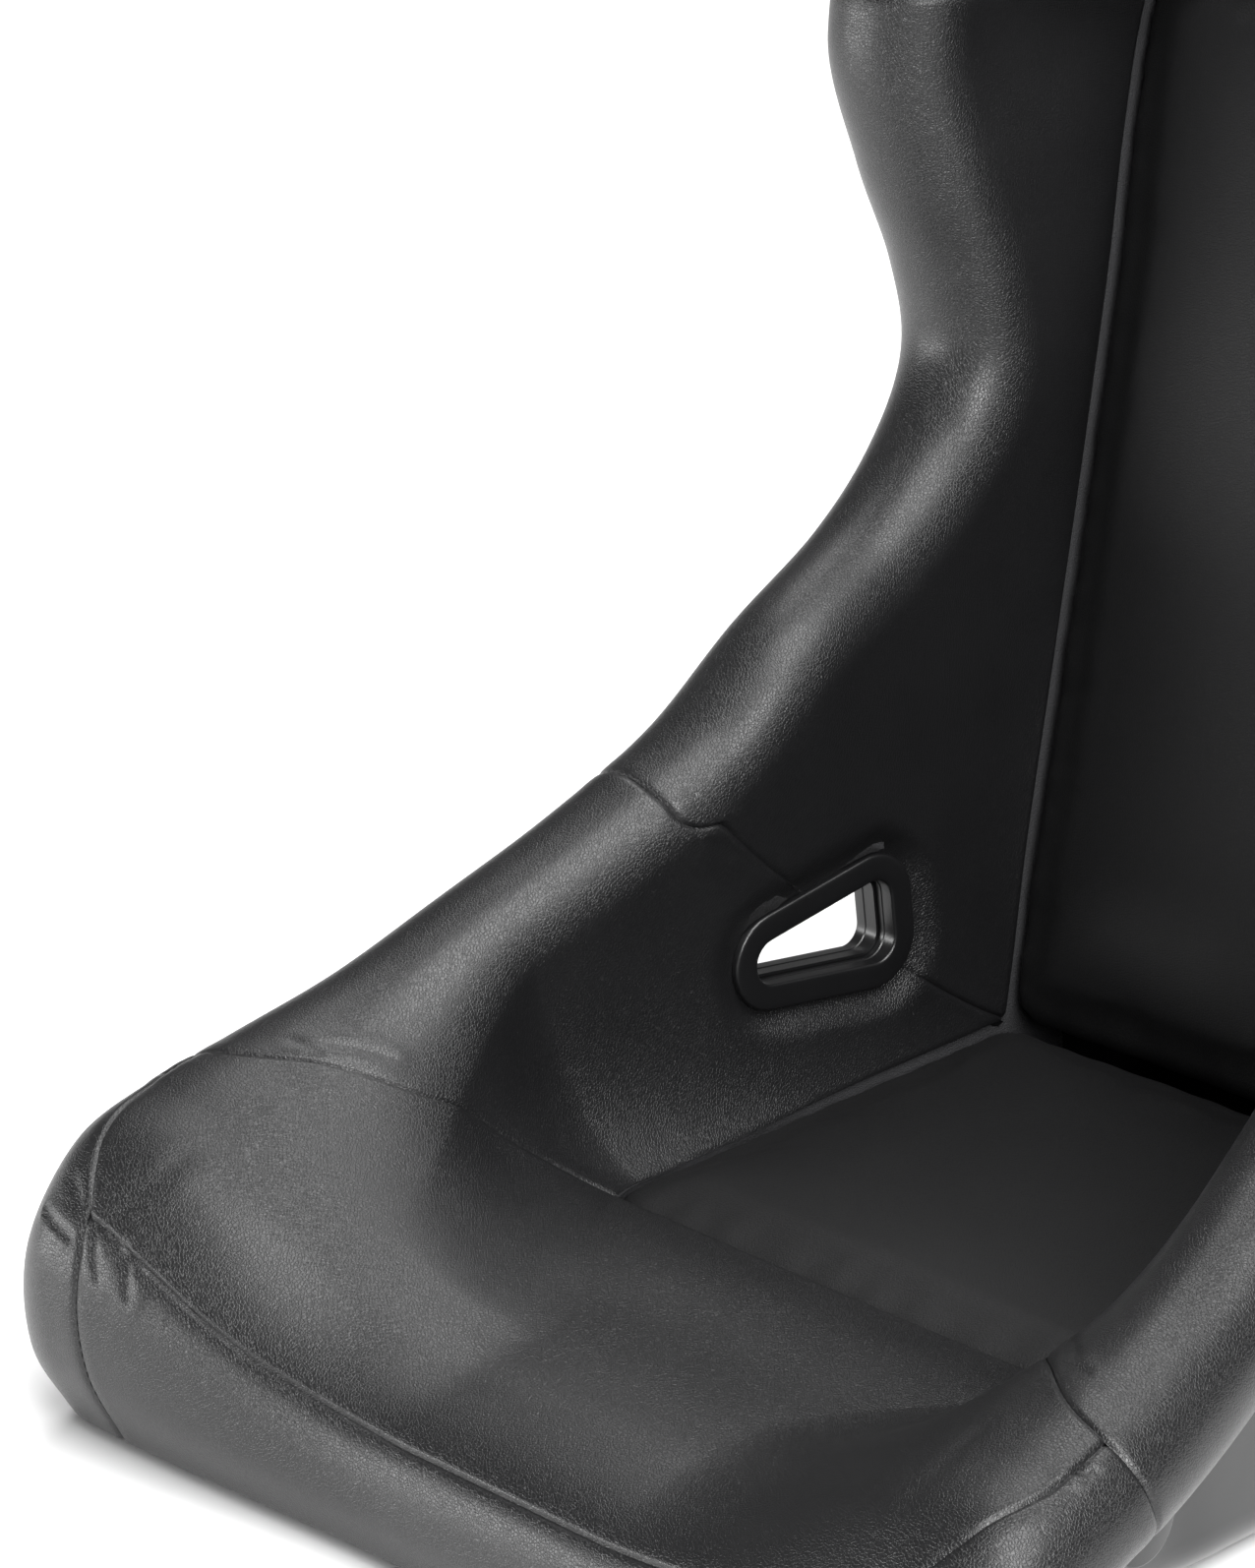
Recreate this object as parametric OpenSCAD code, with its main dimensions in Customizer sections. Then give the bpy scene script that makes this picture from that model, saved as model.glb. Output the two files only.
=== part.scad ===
// Fixed-back racing seat: a moulded glass-fibre bucket shell with foam bolsters,
// a sewn synthetic-leather cover wrapped over its rim, loose cushions and belt slots.
// The seat is drawn as sections: each section lies in a plane that holds the X axis
// direction and a line from the cushion (PAD) up to the crest of the bolster (RIM).
// Millimetres. +X is the sitter's left, -Y the front, +Z up; z = 0 is the flat base.

/* [Seat] */
// Width between the two bolsters at the cushion crease
cushion_w = 315; // [305:1:325]
// Height of the rear crease above the base
crease_z = 84; // [80:1:90]
// Distance from the mount centre back to the rear crease
crease_y = 165; // [155:1:175]
// Length from the rear crease to the front of the seat
seat_len = 540; // [520:2:560]
// Height from the rear crease to the top of the head
back_h = 815; // [790:5:840]
// Radius of the bolster roll at the thigh
roll_r = 34; // [32:0.5:36]

/* [Shell] */
// Thickness of the glass-fibre laminate
shell_t = 4.5; // [4:0.1:5]
// Half width of the shell at the base
base_half_w = 188; // [186:1:192]
// Radius along the lower edge of the shell
fillet_r = 30; // [26:1:34]

/* [Trim] */
// Thickness of the sewn cover with its backing
cover_t = 2; // [1.5:0.1:2.5]
// Depth of foam and cover wrapped outside the rim
wrap_t = 6; // [5.5:0.1:7]
// Clearance between layers
fit_gap = 0.3; // [0.2:0.05:0.4]
// Radius of the bead along the cut edge of the cover
bead_r = 2.2; // [2:0.1:2.6]

/* [Cushions] */
// Rise of the base cushion at its middle
cushion_crown = 5; // [3:0.5:7]
// Rise of the back pad at its middle
back_crown = 6; // [4:0.5:8]
// Rounding of the cushion edges
cushion_edge = 12; // [9:1:14]
// How far the cushion sides pull in between the corners
cushion_draw = 2; // [1:0.5:3]
// Width of a hook-and-loop strip
strip_w = 30; // [20:1:40]
// Thickness of a closed hook-and-loop strip
strip_t = 2; // [1.5:0.1:2.5]

/* [Belt slots] */
// Width of the plastic flange round a slot
flange_w = 13.5; // [11:0.5:15]
// Thickness of that flange
flange_t = 4; // [3:0.5:5]
// Wall of the sleeve through the slot
sleeve_t = 2; // [1.5:0.1:2.5]
// How much smaller the outer sleeve is than the inner one
sleeve_step = 1.5; // [1:0.25:2]
// Width of a shoulder belt slot
shoulder_slot_w = 76; // [66:1:84]
// Height of a shoulder belt slot
shoulder_slot_h = 44; // [38:1:50]
// Distance from the centre plane to the middle of a shoulder slot
shoulder_slot_x = 92; // [86:1:96]

/* [Mounting] */
// Distance between the front and rear mounting threads
mount_pitch = 290; // [280:1:295]
// Height of the mounting threads above the base
mount_z = 50; // [46:1:54]
// Bore of an M8 thread insert
thread_d = 8; // [6:0.5:8]
// Outer diameter of the insert barrel
insert_d = 14; // [12:0.5:16]
// Thickness of the steel plate behind the laminate
plate_t = 3; // [2:0.5:4]
// Height of that plate
plate_h = 38; // [30:1:40]

/* [Hidden] */

// ---- control curves, one value per station, from the front edge to the back of the head
// Crest of the bolster, measured from the rear crease [back, up]
RIM = [[-517, -76], [-539, -32], [-537, 20], [-505, 62], [-463, 78], [-415, 91],
    [-359, 108], [-302, 133], [-242, 161], [-187, 193], [-137, 236], [-69, 265],
    [-25, 296], [-1, 334], [-4, 376], [-18, 425], [-29, 489], [-12, 553], [54, 616],
    [130, 663], [173, 712], [189, 758], [207, 796], [227, 820], [256, 828], [282, 812],
    [291, 781], [281, 752]];
// Foot of the bolster, where it meets the cushions
PAD = [[-509, -76], [-517, -46], [-503, -14], [-465, 0], [-423, 4], [-374, 4],
    [-319, 4], [-265, -3], [-187, -3], [-109, -1], [0, 0], [25, 88], [55, 193],
    [86, 299], [106, 369], [123, 429], [140, 489], [158, 549], [175, 612], [192, 670],
    [205, 719], [216, 756], [227, 782], [238, 801], [256, 808], [275, 798], [283, 777],
    [277, 751]];
// How much wider the pad is there than at the crease, each side
PAD_WIDER = [0, 0, 0, 0, 0, 0, 0, 0, 0, 0, 0, 9, 18, 28, 35, 42, 46, 38, 4, -36,
    -60, -68, -70, -71, -72, -72, -72, -72];
// Centre of the bolster roll, measured out from the crease
ROLL_OUT = [102, 102, 102, 102, 101, 98, 88, 77, 66, 56, 48, 48, 52, 56, 60, 68, 78,
    70, 40, -2, -32, -42, -46, -50, -54, -56, -56, -56];
// Roll radius as a share of that at the thigh
ROLL_SIZE = [0.95, 0.98, 1, 1, 1, 1, 1, 1, 1, 1, 1, 1.03, 1.08, 1.16, 1.18, 1.18,
    1.16, 1.12, 1.02, 0.92, 0.86, 0.84, 0.84, 0.84, 0.84, 0.84, 0.84, 0.84];
// Side wall of the shell, measured out from the base half width
SHELL_OUT = [26, 26, 26, 24, 18, 9, 0, 2, 3, 1, 0, 3, 8, 16, 22, 30, 34, 24, -6, -50,
    -80, -88, -92, -94, -96, -96, -96, -96];
// Depth of the shell behind the pad face, where the base does not limit it
DEPTH = [40, 72, 120, 200, 240, 260, 260, 240, 220, 150, 110, 76, 66, 55, 54, 55, 55,
    55, 54, 55, 55, 50, 46, 40, 36, 34, 34, 34];
// 0 where wall and pad meet in a crease, 1 where they blend in one sweep
SWEEP = [1, 1, 1, 1, 1, 0.75, 0.3, 0, 0, 0, 0, 0, 0, 0, 0, 0, 0, 0, 0.2, 0.7, 1, 1,
    1, 1, 1, 1, 1, 1];
corner = 10;         // station at the rear crease
last = len(RIM) - 1;
waist_z = 300;       // the back only stretches above this height
roll_start = -265;   // the seat only stretches ahead of this depth

// ---- seams, as stations across the contour from the crease to the wrapped edge
CREST_SEAM = [6.7, 6.1, 5.85, 5.2, 4.2, 4.0, 3.9];
MID_SEAM = [10, 9.3, 8.85, 8.65, 8.4, 8.25, 8.2];
front_seam = 2.1;
neck_seam = 16.4;
wrap_gap = 0.8;      // clearance of foam and wrapped edge from the shell
seam_gap = 0.006;    // half the gap left in a seam, in stations
low_rows = 3;        // rows of facets in each part of the cover, from the front edge up
front_rows = 5;
thigh_rows = 5;
torso_rows = 9;
head_rows = 8;
shell_head_rows = 4; // how many of the head rows the shell reaches

// ---- counts of facets across a section
n_wall = 3;
n_arc = 4;
n_flare = 4;
n_inner = n_wall + n_arc;      // contour index of the crest
n_equator = n_inner + n_arc;   // contour index where the roll is widest
n_edge = n_equator + 2;        // contour index of the cut edge of the cover

half_w = cushion_w / 2;
back_scale = (back_h - waist_z) / (815 - waist_z);
front_scale = (seat_len + roll_start) / (540 + roll_start);

// Catmull-Rom value of list P at station t; the curve may have one corner
function spline(P, t, k = -1) =
    let (n = len(P) - 1, c = min(max(t, 0), n), i = min(floor(c), n - 1), f = c - i,
        b = P[i], d = P[i + 1],
        a = (i == 0 || i == k) ? 2 * b - d : P[i - 1],
        e = (i + 1 == n || i + 1 == k) ? 2 * d - b : P[i + 2])
    0.5 * (2 * b + (d - a) * f + (2 * a - 5 * b + 4 * d - e) * f * f
        + (3 * b - a - 3 * d + e) * f * f * f);

// Place of a control point in the seat frame
function placed(v) = [
    crease_y + (v[0] < roll_start ? roll_start + (v[0] - roll_start) * front_scale : v[0]),
    crease_z + (v[1] > waist_z ? waist_z + (v[1] - waist_z) * back_scale : v[1])];
function rim(t) = placed(spline(RIM, t));
function pad(t) = placed(spline(PAD, t, corner));
function smooth(s) = let (c = min(max(s, 0), 1)) c * c * (3 - 2 * c);
function bezier(a, b, c, d, s) =
    pow(1 - s, 3) * a + 3 * pow(1 - s, 2) * s * b + 3 * (1 - s) * s * s * c + s * s * s * d;
function soft_min(a, b) = (a + b - sqrt((a - b) * (a - b) + 144)) / 2;

// Section values at station t: [pad half width, roll centre, radius, height, side
// wall, depth, sweep, pad point, direction up the section, share of the wall below the flare]
function section(t) =
    let (g = pad(t), r = rim(t), h = norm(r - g), e = (r - g) / h,
        base = g[1] / max(e[1], 0.05) + 1.2)
    [half_w + spline(PAD_WIDER, t), half_w + spline(ROLL_OUT, t),
        roll_r * spline(ROLL_SIZE, t), h, base_half_w + spline(SHELL_OUT, t),
        soft_min(spline(DEPTH, t), base), min(max(spline(SWEEP, t), 0), 1), g, e,
        0.34 + 0.26 * smooth((t - 6.9) / 1.3)];

// Shift every point of a section line to its right by d
function shifted(L, d) = [for (i = [0 : len(L) - 1])
    let (v = L[min(i + 1, len(L) - 1)] - L[max(i - 1, 0)], n = norm(v))
    L[i] + d * [v[1], -v[0]] / max(n, 0.001)];

// Outer face of the shell in section, from the middle out and up to the rim
function shell_line(s) =
    let (q0 = -s[5], qe = s[3] - s[2], r = min(fillet_r, 0.3 * (qe - q0)),
        xw = s[4] + 2, xo = s[1] + s[2] - wrap_t, qv = q0 + r + s[9] * (qe - q0 - r),
        reach = 0.35 * (qe - qv), rr = s[2] - wrap_t)
    concat([[0, q0], [s[4] - r, q0]],
        [for (a = [30, 60, 90]) [s[4] - r + r * sin(a), q0 + r - r * cos(a)]],
        [for (j = [0 : n_flare]) bezier([xw, qv], [xw, qv + reach], [xo, qe - reach],
            [xo, qe], j / n_flare)],
        [for (a = [25, 50]) [s[1] + rr * cos(a), qe + rr * sin(a)]]);

// Outer face of the trim in section, from the crease over the roll to the cut edge
function trim_line(s) =
    let (xp = s[0], xr = s[1], r = s[2], h = s[3], rise = min(r, h), w = h - rise,
        xi = xr - r, shell = shell_line(s),
        wall = [for (i = [0 : n_wall - 1]) bezier([xp, 0],
            [xp + 0.75 * (xi - xp), 0.15 * w], [xi, 0.5 * w], [xi, w], i / n_wall)],
        arc = [for (i = [0 : n_arc]) let (a = 90 * i / n_arc)
            [xr - r * cos(a), h - rise + rise * sin(a)]],
        sharp = concat(wall, arc), x0 = 0.38 * xp,
        inner = [for (i = [0 : n_inner]) let (f = i / n_inner)
            sharp[i] * (1 - s[6]) + [x0 + (xr - x0) * f, h * smooth(f)] * s[6]],
        outer = [for (i = [1 : n_arc]) let (a = 90 * i / n_arc)
            [xr + r * sin(a), h - r + r * cos(a)]],
        k = 5 + n_flare, out1 = shifted(shell, 0.8 * wrap_t + wrap_gap),
        out2 = shifted(shell, cover_t + wrap_gap))
    concat(inner, outer, [out1[k - 1], out2[k - 2]]);

// A section point in the seat frame; side is 1 for +X and -1 for -X
function at(s, v, side = 1) = [side * v[0], s[7][0] + s[8][0] * v[1], s[7][1] + s[8][1] * v[1]];

// Seam station for a contour index
function across(i) = i <= n_inner ? i / n_inner : 1 + 0.5 * (i - n_inner) / (n_edge - n_inner);
function whole(i) = abs(i) < 1 ? 0 : abs(i);
function crest_seam(i) = spline(CREST_SEAM, across(whole(i)) * 4);
function mid_seam(i) = spline(MID_SEAM, across(whole(i)) * 4);

// Point of a trim face at station t and contour index i, d deep; negative i is -X.
// Index 0.5 stands for the crease where the panel crosses the middle.
function trim_point(t, i, d) =
    let (s = section(t), v = shifted(trim_line(s), d)[floor(abs(i))])
    at(s, abs(i) == 0.5 ? [v[0], -d] : v, i < 0 ? -1 : 1);

// Closed solid between two faces given as rows of points; columns before half mirror the rest
module slab(A, B, half = 0) {
    m = len(A);
    n = len(A[0]);
    count = m * n;
    function a(k, i) = k * n + i;
    function b(k, i) = count + k * n + i;
    // The four-cornered face p, q, r, s as two triangles
    function cell(p, q, r, s, turned) = turned ? [[p, q, s], [q, r, s]] : [[p, q, r], [p, r, s]];
    polyhedron(points = [for (g = [A, B]) for (row = g) for (v = row) v],
        faces = concat(
            [for (k = [0 : m - 2]) for (i = [0 : n - 2])
                for (f = concat(cell(a(k, i), a(k + 1, i), a(k + 1, i + 1), a(k, i + 1), i < half),
                    cell(b(k, i), b(k, i + 1), b(k + 1, i + 1), b(k + 1, i), i < half))) f],
            [for (i = [0 : n - 2])
                for (f = concat(cell(a(0, i), a(0, i + 1), b(0, i + 1), b(0, i), i < half),
                    cell(a(m - 1, i), b(m - 1, i), b(m - 1, i + 1), a(m - 1, i + 1), i < half))) f],
            [for (k = [0 : m - 2])
                for (f = concat(cell(a(k, 0), b(k, 0), b(k + 1, 0), a(k + 1, 0), false),
                    cell(a(k, n - 1), a(k + 1, n - 1), b(k + 1, n - 1), b(k, n - 1), false))) f]));
}

// Rows of stations over contour indices I: part k of the cover, short of its seams
function steps(from, to, m) = [for (k = [0 : m]) from + (to - from) * k / m];
function level(I, t) = [for (i = I) t];
function low_part(I) = steps(level(I, 0), level(I, front_seam - seam_gap), low_rows);
function front_part(I) = steps(level(I, front_seam + seam_gap),
    [for (i = I) crest_seam(i) - seam_gap], front_rows);
function thigh_part(I) = steps([for (i = I) crest_seam(i) + seam_gap],
    [for (i = I) mid_seam(i) - seam_gap], thigh_rows);
function torso_part(I) = steps([for (i = I) mid_seam(i) + seam_gap],
    level(I, neck_seam - seam_gap), torso_rows);
function head_part(I, m = head_rows) = steps(level(I, neck_seam + seam_gap),
    level(I, neck_seam + seam_gap + (last - neck_seam - seam_gap) * m / head_rows), m);
// Part a continued by part b without the seam between them
function joined(a, b) = concat(a, [for (k = [1 : len(b) - 1]) b[k]]);

// Cover panel over contour indices I, with its rows of stations
module panel(I, rows) {
    slab([for (row = rows) [for (i = [0 : len(I) - 1]) trim_point(row[i], I[i], 0)]],
        [for (row = rows) [for (i = [0 : len(I) - 1]) trim_point(row[i], I[i], cover_t)]],
        I[0] < 0 ? len(I) / 2 : 0);
}
side_index = [for (i = [0 : n_edge]) i];
span_index = concat([for (i = [n_inner : -1 : 1]) -i], [-0.5, 0.5], [for (i = [1 : n_inner]) i]);
whole_index = concat([for (i = [n_edge : -1 : 1]) -i], [-0.5, 0.5], [for (i = [1 : n_edge]) i]);
foam_index = [for (i = [0 : n_edge]) max(i - 1, 0)];

// Foam rows: the face under the cover, and the face on the shell with its rim
function foam_face(t, foot) =
    let (s = section(t), d = cover_t + fit_gap, L = shifted(trim_line(s), d), x = L[0][0],
        low = foot ? [[x, shell_t + fit_gap - s[5]], L[0]] : [[x / 2, -d], [x, -d]])
    [for (v = concat(low, [for (i = [1 : n_edge - 1]) L[i]])) at(s, v)];
function shell_face(t, foot) =
    let (s = section(t), L = shell_line(s), inside = shifted(L, -shell_t - wrap_gap),
        outside = shifted(L, wrap_gap), n = len(L) - 1, x = s[0] + cover_t + fit_gap + 1,
        bend = [for (i = [1, 3, 4]) shifted(L, -shell_t - 2 * wrap_gap)[i]],
        low = [for (i = [0 : 2]) let (p = max(bend[i][0], x + i / 2))
            foot ? [p, p > bend[i][0] ? lookup(p, bend) : bend[i][1]] : bend[i]])
    [for (v = concat(low, [for (i = [5 : n]) inside[i]], [for (i = [n : -1 : n - 3]) outside[i]]))
        at(s, v)];
function flipped(row) = [for (i = [len(row) - 1 : -1 : 0]) [-row[i][0], row[i][1], row[i][2]]];

// Foam between the cover's rows and the shell's rows
function foam_outer(rows, foot) =
    [for (row = rows) [for (i = [0 : n_edge]) foam_face(row[i], foot)[i]]];
function foam_inner(edge, foot) = [for (row = edge) shell_face(row[0], foot)];
module side_foam(rows, edge) {
    slab(foam_outer(rows, true), foam_inner(edge, true));
}
module span_foam(rows, edge) {
    slab([for (r = foam_outer(rows, false)) concat(flipped(r), r)],
        [for (r = foam_inner(edge, false)) concat(flipped(r), r)], n_edge + 1);
}

// Closed solid from stacked rings
module stack(R) {
    m = len(R);
    n = len(R[0]);
    polyhedron(points = [for (r = R) for (v = r) v], faces = concat(
        [[for (i = [0 : n - 1]) i]], [[for (i = [n - 1 : -1 : 0]) (m - 1) * n + i]],
        [for (k = [0 : m - 2]) for (i = [0 : n - 1]) let (j = (i + 1) % n) for (f = [
            [k * n + i, (k + 1) * n + j, k * n + j], [k * n + i, (k + 1) * n + i, (k + 1) * n + j]]) f]));
}
// Ring of radius r round the corner points C, which run anticlockwise
arc_n = 4;
function round_ring(C, r) = let (n = len(C)) [for (k = [0 : n - 1])
    let (u = C[k] - C[(k + n - 1) % n], v = C[(k + 1) % n] - C[k], a = atan2(-u[0], u[1]),
        turn = (atan2(-v[0], v[1]) - a + 720) % 360)
    for (j = [0 : arc_n]) C[k] + r * [cos(a + turn * j / arc_n), sin(a + turn * j / arc_n)]];

// ---- belt slots
lap_middle = [50, 158];       // [y, z] of the lap slot
lap_corners = [[-37, -3], [30, -10], [28, 10]];
lap_r = 11.5;                 // radius round those corners
lap_seat = half_w + 17;       // seat of the inner flange on the bolster wall
lap_tilt = 2;
lap_turn = 5;
lap_proud = 7;                // how far the land outside stands proud of the base width
lap_depth = base_half_w + lap_proud - lap_seat;
land_edge = 4;
lap_sleeve = 10;
sleeve_lap = 2;               // how far the two sleeves pass each other
shoulder_t = 17.45;           // station of the shoulder slots
shoulder_r = 15;
shoulder_corners = [for (c = [[1, 1], [-1, 1], [-1, -1], [1, -1]])
    [c[0] * (shoulder_slot_w / 2 - shoulder_r), c[1] * (shoulder_slot_h / 2 - shoulder_r)]];
shoulder_seat = 1;            // how far the inner flange presses into the cover
flange_bevel = 1.2;
sleeve_out = sleeve_t + fit_gap;

// Lap outline grown by g and h thick, drawn along +X; it narrows by bevel
module lap_prism(g, h, bevel = 0) {
    stack([for (v = [[0, g], [h, g - bevel]])
        [for (p = round_ring(lap_corners, lap_r + v[1])) [v[0], p[0], p[1]]]]);
}
// Frame at the lap slot: +X points out through the bolster
module lap_at(x) {
    translate([lap_seat, lap_middle[0], lap_middle[1]]) rotate([0, lap_tilt, lap_turn])
        translate([x, 0, 0]) children();
}
// Shoulder outline grown by g and h thick, drawn along +Z; it narrows by bevel
module shoulder_prism(g, h, bevel = 0) {
    stack([for (v = [[0, g], [h, g - bevel]])
        [for (p = round_ring(shoulder_corners, shoulder_r + v[1])) [p[0], p[1], v[0]]]]);
}
shoulder_point = pad(shoulder_t);
shoulder_dir = pad(shoulder_t + 0.4) - pad(shoulder_t - 0.4);
shoulder_rake = atan2(shoulder_dir[0], shoulder_dir[1]);
// Frame at a shoulder slot: +Z points back through the shell
module shoulder_at(z) {
    translate([shoulder_slot_x, shoulder_point[0], shoulder_point[1]])
        rotate([-90 - shoulder_rake, 0, 0]) translate([0, 0, z]) children();
}
shoulder_depth = 55;          // from the cover to the land outside the shell
shoulder_sleeve = 30;
cut_reach = 40;
module slot_cuts(g = 0) {
    lap_at(-cut_reach) lap_prism(sleeve_out + g, lap_depth + 2 * cut_reach);
    shoulder_at(-cut_reach) shoulder_prism(sleeve_out + g, shoulder_depth + 2 * cut_reach);
}
// Room for the inner flanges, with deep more room behind them
module flange_seats(deep = 0) {
    lap_at(-cut_reach) lap_prism(flange_w + fit_gap, cut_reach + deep);
    shoulder_at(shoulder_seat - cut_reach) shoulder_prism(flange_w + fit_gap, cut_reach + deep);
}
module both_sides() {
    children();
    mirror([1, 0, 0]) children();
}

// ---- shell
// The shell has its rows where the cut edge of the cover has them
cut_edge = [n_edge];
shell_rows = [for (row = joined(joined(joined(joined(low_part(cut_edge), front_part(cut_edge)),
    thigh_part(cut_edge)), torso_part(cut_edge)), head_part(cut_edge, shell_head_rows))) row[0]];
module shell_skin() {
    function face(d) = [for (t = shell_rows) let (s = section(t), L = shifted(shell_line(s), d))
        concat([for (i = [len(L) - 1 : -1 : 1]) at(s, L[i], -1)],
            [for (i = [1 : len(L) - 1]) at(s, L[i])])];
    slab(face(-shell_t), face(0), len(shell_line(section(0))) - 1);
}
boss_x = base_half_w + 4;     // outer face of the mounting bosses
boss_r = 20;
land_t = shell_t + 3;
hole_sides = 12;
below = 20;                   // depth of the block that trims the underside flat
module mount_at() {
    for (sy = [-1, 1]) translate([0, sy * mount_pitch / 2, mount_z]) rotate([0, 90, 0]) children();
}
// Clearance hole for an insert barrel, whose flats the bonding resin fills
module insert_hole(h) {
    cylinder(d = (insert_d + fit_gap) / cos(180 / hole_sides), h = h, $fn = hole_sides);
}
module shell() {
    color("#1c1c1e") difference() {
        union() {
            shell_skin();
            both_sides() {
                translate([base_half_w - shell_t, 0, 0]) mount_at()
                    cylinder(r = boss_r, h = boss_x - base_half_w + shell_t);
                lap_at(lap_depth - land_t) lap_prism(flange_w + land_edge, land_t);
                shoulder_at(shoulder_depth - land_t) shoulder_prism(flange_w + land_edge, land_t);
            }
        }
        both_sides() {
            slot_cuts();
            translate([base_half_w - cut_reach, 0, 0]) mount_at() insert_hole(2 * cut_reach);
        }
        translate([-seat_len, -seat_len, -below]) cube([2 * seat_len, 2 * seat_len, below]);
    }
}

// ---- mounting steel
plate_x = base_half_w - shell_t - plate_t - fit_gap;
module mount_plate() {
    difference() {
        translate([plate_x, -mount_pitch / 2 - plate_h / 2, mount_z - plate_h / 2])
            cube([plate_t, mount_pitch + plate_h, plate_h]);
        translate([plate_x - 1, 0, 0]) mount_at() insert_hole(plate_t + 2);
    }
}
insert_flange_t = 2.5;
insert_flange_w = 4;
module mount_inserts() {
    translate([plate_x - insert_flange_t, 0, 0]) mount_at() difference() {
        union() {
            cylinder(d = insert_d + 2 * insert_flange_w, h = insert_flange_t - fit_gap / 2);
            cylinder(d = insert_d, h = boss_x - plate_x + insert_flange_t);
        }
        translate([0, 0, -1]) cylinder(d = thread_d, h = boss_x - plate_x + insert_flange_t + 2);
    }
}
module mount_plate_left() { color("#8a8d90") mount_plate(); }
module mount_plate_right() { color("#8a8d90") mirror([1, 0, 0]) mount_plate(); }
module mount_inserts_left() { color("#b9bcc0") mount_inserts(); }
module mount_inserts_right() { color("#b9bcc0") mirror([1, 0, 0]) mount_inserts(); }
// Room in the foam for the steel, with room round it
steel_room = 1;
module steel_pocket() {
    translate([plate_x - insert_flange_t - steel_room, -mount_pitch / 2 - plate_h / 2 - steel_room,
        mount_z - plate_h / 2 - steel_room])
        cube([cut_reach, mount_pitch + plate_h + 2 * steel_room, plate_h + 2 * steel_room]);
}

// Room in the foam for the lands moulded on the shell
module land_room() {
    lap_at(lap_depth - land_t - fit_gap) lap_prism(flange_w + land_edge + fit_gap, cut_reach);
    shoulder_at(shoulder_depth - land_t - fit_gap)
        shoulder_prism(flange_w + land_edge + fit_gap, cut_reach);
}

// ---- foam
module front_roll_foam() {
    color("#3a3a3c") difference() {
        span_foam(joined(low_part(foam_index), front_part(foam_index)),
            joined(low_part(cut_edge), front_part(cut_edge)));
        both_sides() steel_pocket();
    }
}
module slot_room() {
    slot_cuts(0.2);
    flange_seats();
    land_room();
}
module thigh_foam() {
    difference() {
        side_foam(thigh_part(foam_index), thigh_part(cut_edge));
        translate([0, -seat_len, -below]) cube([half_w + fit_gap, 2 * seat_len, crease_z + below]);
        slot_room();
        steel_pocket();
    }
}
module torso_foam() {
    difference() {
        side_foam(torso_part(foam_index), torso_part(cut_edge));
        side_foam(thigh_part(foam_index), thigh_part(cut_edge));
        slot_room();
        steel_pocket();
    }
}
module thigh_foam_left() { color("#3a3a3c") thigh_foam(); }
module thigh_foam_right() { color("#3a3a3c") mirror([1, 0, 0]) thigh_foam(); }
module torso_foam_left() { color("#3a3a3c") torso_foam(); }
module torso_foam_right() { color("#3a3a3c") mirror([1, 0, 0]) torso_foam(); }
module head_foam() {
    color("#3a3a3c") difference() {
        span_foam(head_part(foam_index, shell_head_rows + 1),
            head_part(cut_edge, shell_head_rows + 1));
        both_sides() slot_room();
    }
}

// ---- sewn cover
module front_panel_lower() {
    color("#1f1f20") panel(span_index, low_part(span_index));
}
module front_panel_upper() {
    color("#1f1f20") panel(span_index, front_part(span_index));
}
edge_index = [for (i = [n_inner : n_edge]) i];
module side_panel() {
    panel(edge_index, joined(low_part(edge_index), front_part(edge_index)));
}
// Holes in the cover: the belt slots and the seats of their flanges
module cover_cuts() {
    slot_cuts(0.2);
    flange_seats(2 * cover_t);
}
module thigh_cover() {
    difference() {
        panel(side_index, thigh_part(side_index));
        cover_cuts();
    }
}
module torso_cover() {
    difference() {
        panel(side_index, torso_part(side_index));
        cover_cuts();
    }
}
module side_panel_left() { color("#1f1f20") side_panel(); }
module side_panel_right() { color("#1f1f20") mirror([1, 0, 0]) side_panel(); }
module thigh_cover_left() { color("#1f1f20") thigh_cover(); }
module thigh_cover_right() { color("#1f1f20") mirror([1, 0, 0]) thigh_cover(); }
module torso_cover_left() { color("#1f1f20") torso_cover(); }
module torso_cover_right() { color("#1f1f20") mirror([1, 0, 0]) torso_cover(); }
module head_cover() {
    color("#1f1f20") difference() {
        panel(whole_index, head_part(whole_index));
        both_sides() cover_cuts();
    }
}

// ---- loose cushions
ring_n = 5;                   // facets on a cushion corner
corner_r = 26;                // corner radius of a cushion in plan
// Steps in from the edge of a cushion's top face: [distance, share of the crown]
crown_steps = [[20, 0.45], [48, 0.8], [85, 1]];
// Rounded outline [u, v] with its sides drawn in by w
function outline(x, v0, v1, r, w) =
    let (c = [[1, 1], [-1, 1], [-1, -1], [1, -1]], vm = (v0 + v1) / 2, hv = (v1 - v0) / 2)
    [for (k = [0 : 3]) for (j = [0 : ring_n + 1])
        j <= ring_n ? let (a = 90 * k + 90 * j / ring_n)
            [c[k][0] * (x - r) + r * cos(a), vm + c[k][1] * (hv - r) + r * sin(a)]
        : k % 2 == 0 ? [0, vm + c[k][1] * (hv - w)] : [c[k][0] * (x - w), vm]];
// Rings of a cushion: [inset, height below the top face, share of the crown]
function pillow(edge, low) = concat([[0, -low, 0], [0, -edge, 0]],
    [for (a = [30, 60, 90]) [edge * (1 - cos(a)), -edge * (1 - sin(a)), 0]],
    [for (c = crown_steps) [edge + c[0], 0, c[1]]]);

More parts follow.
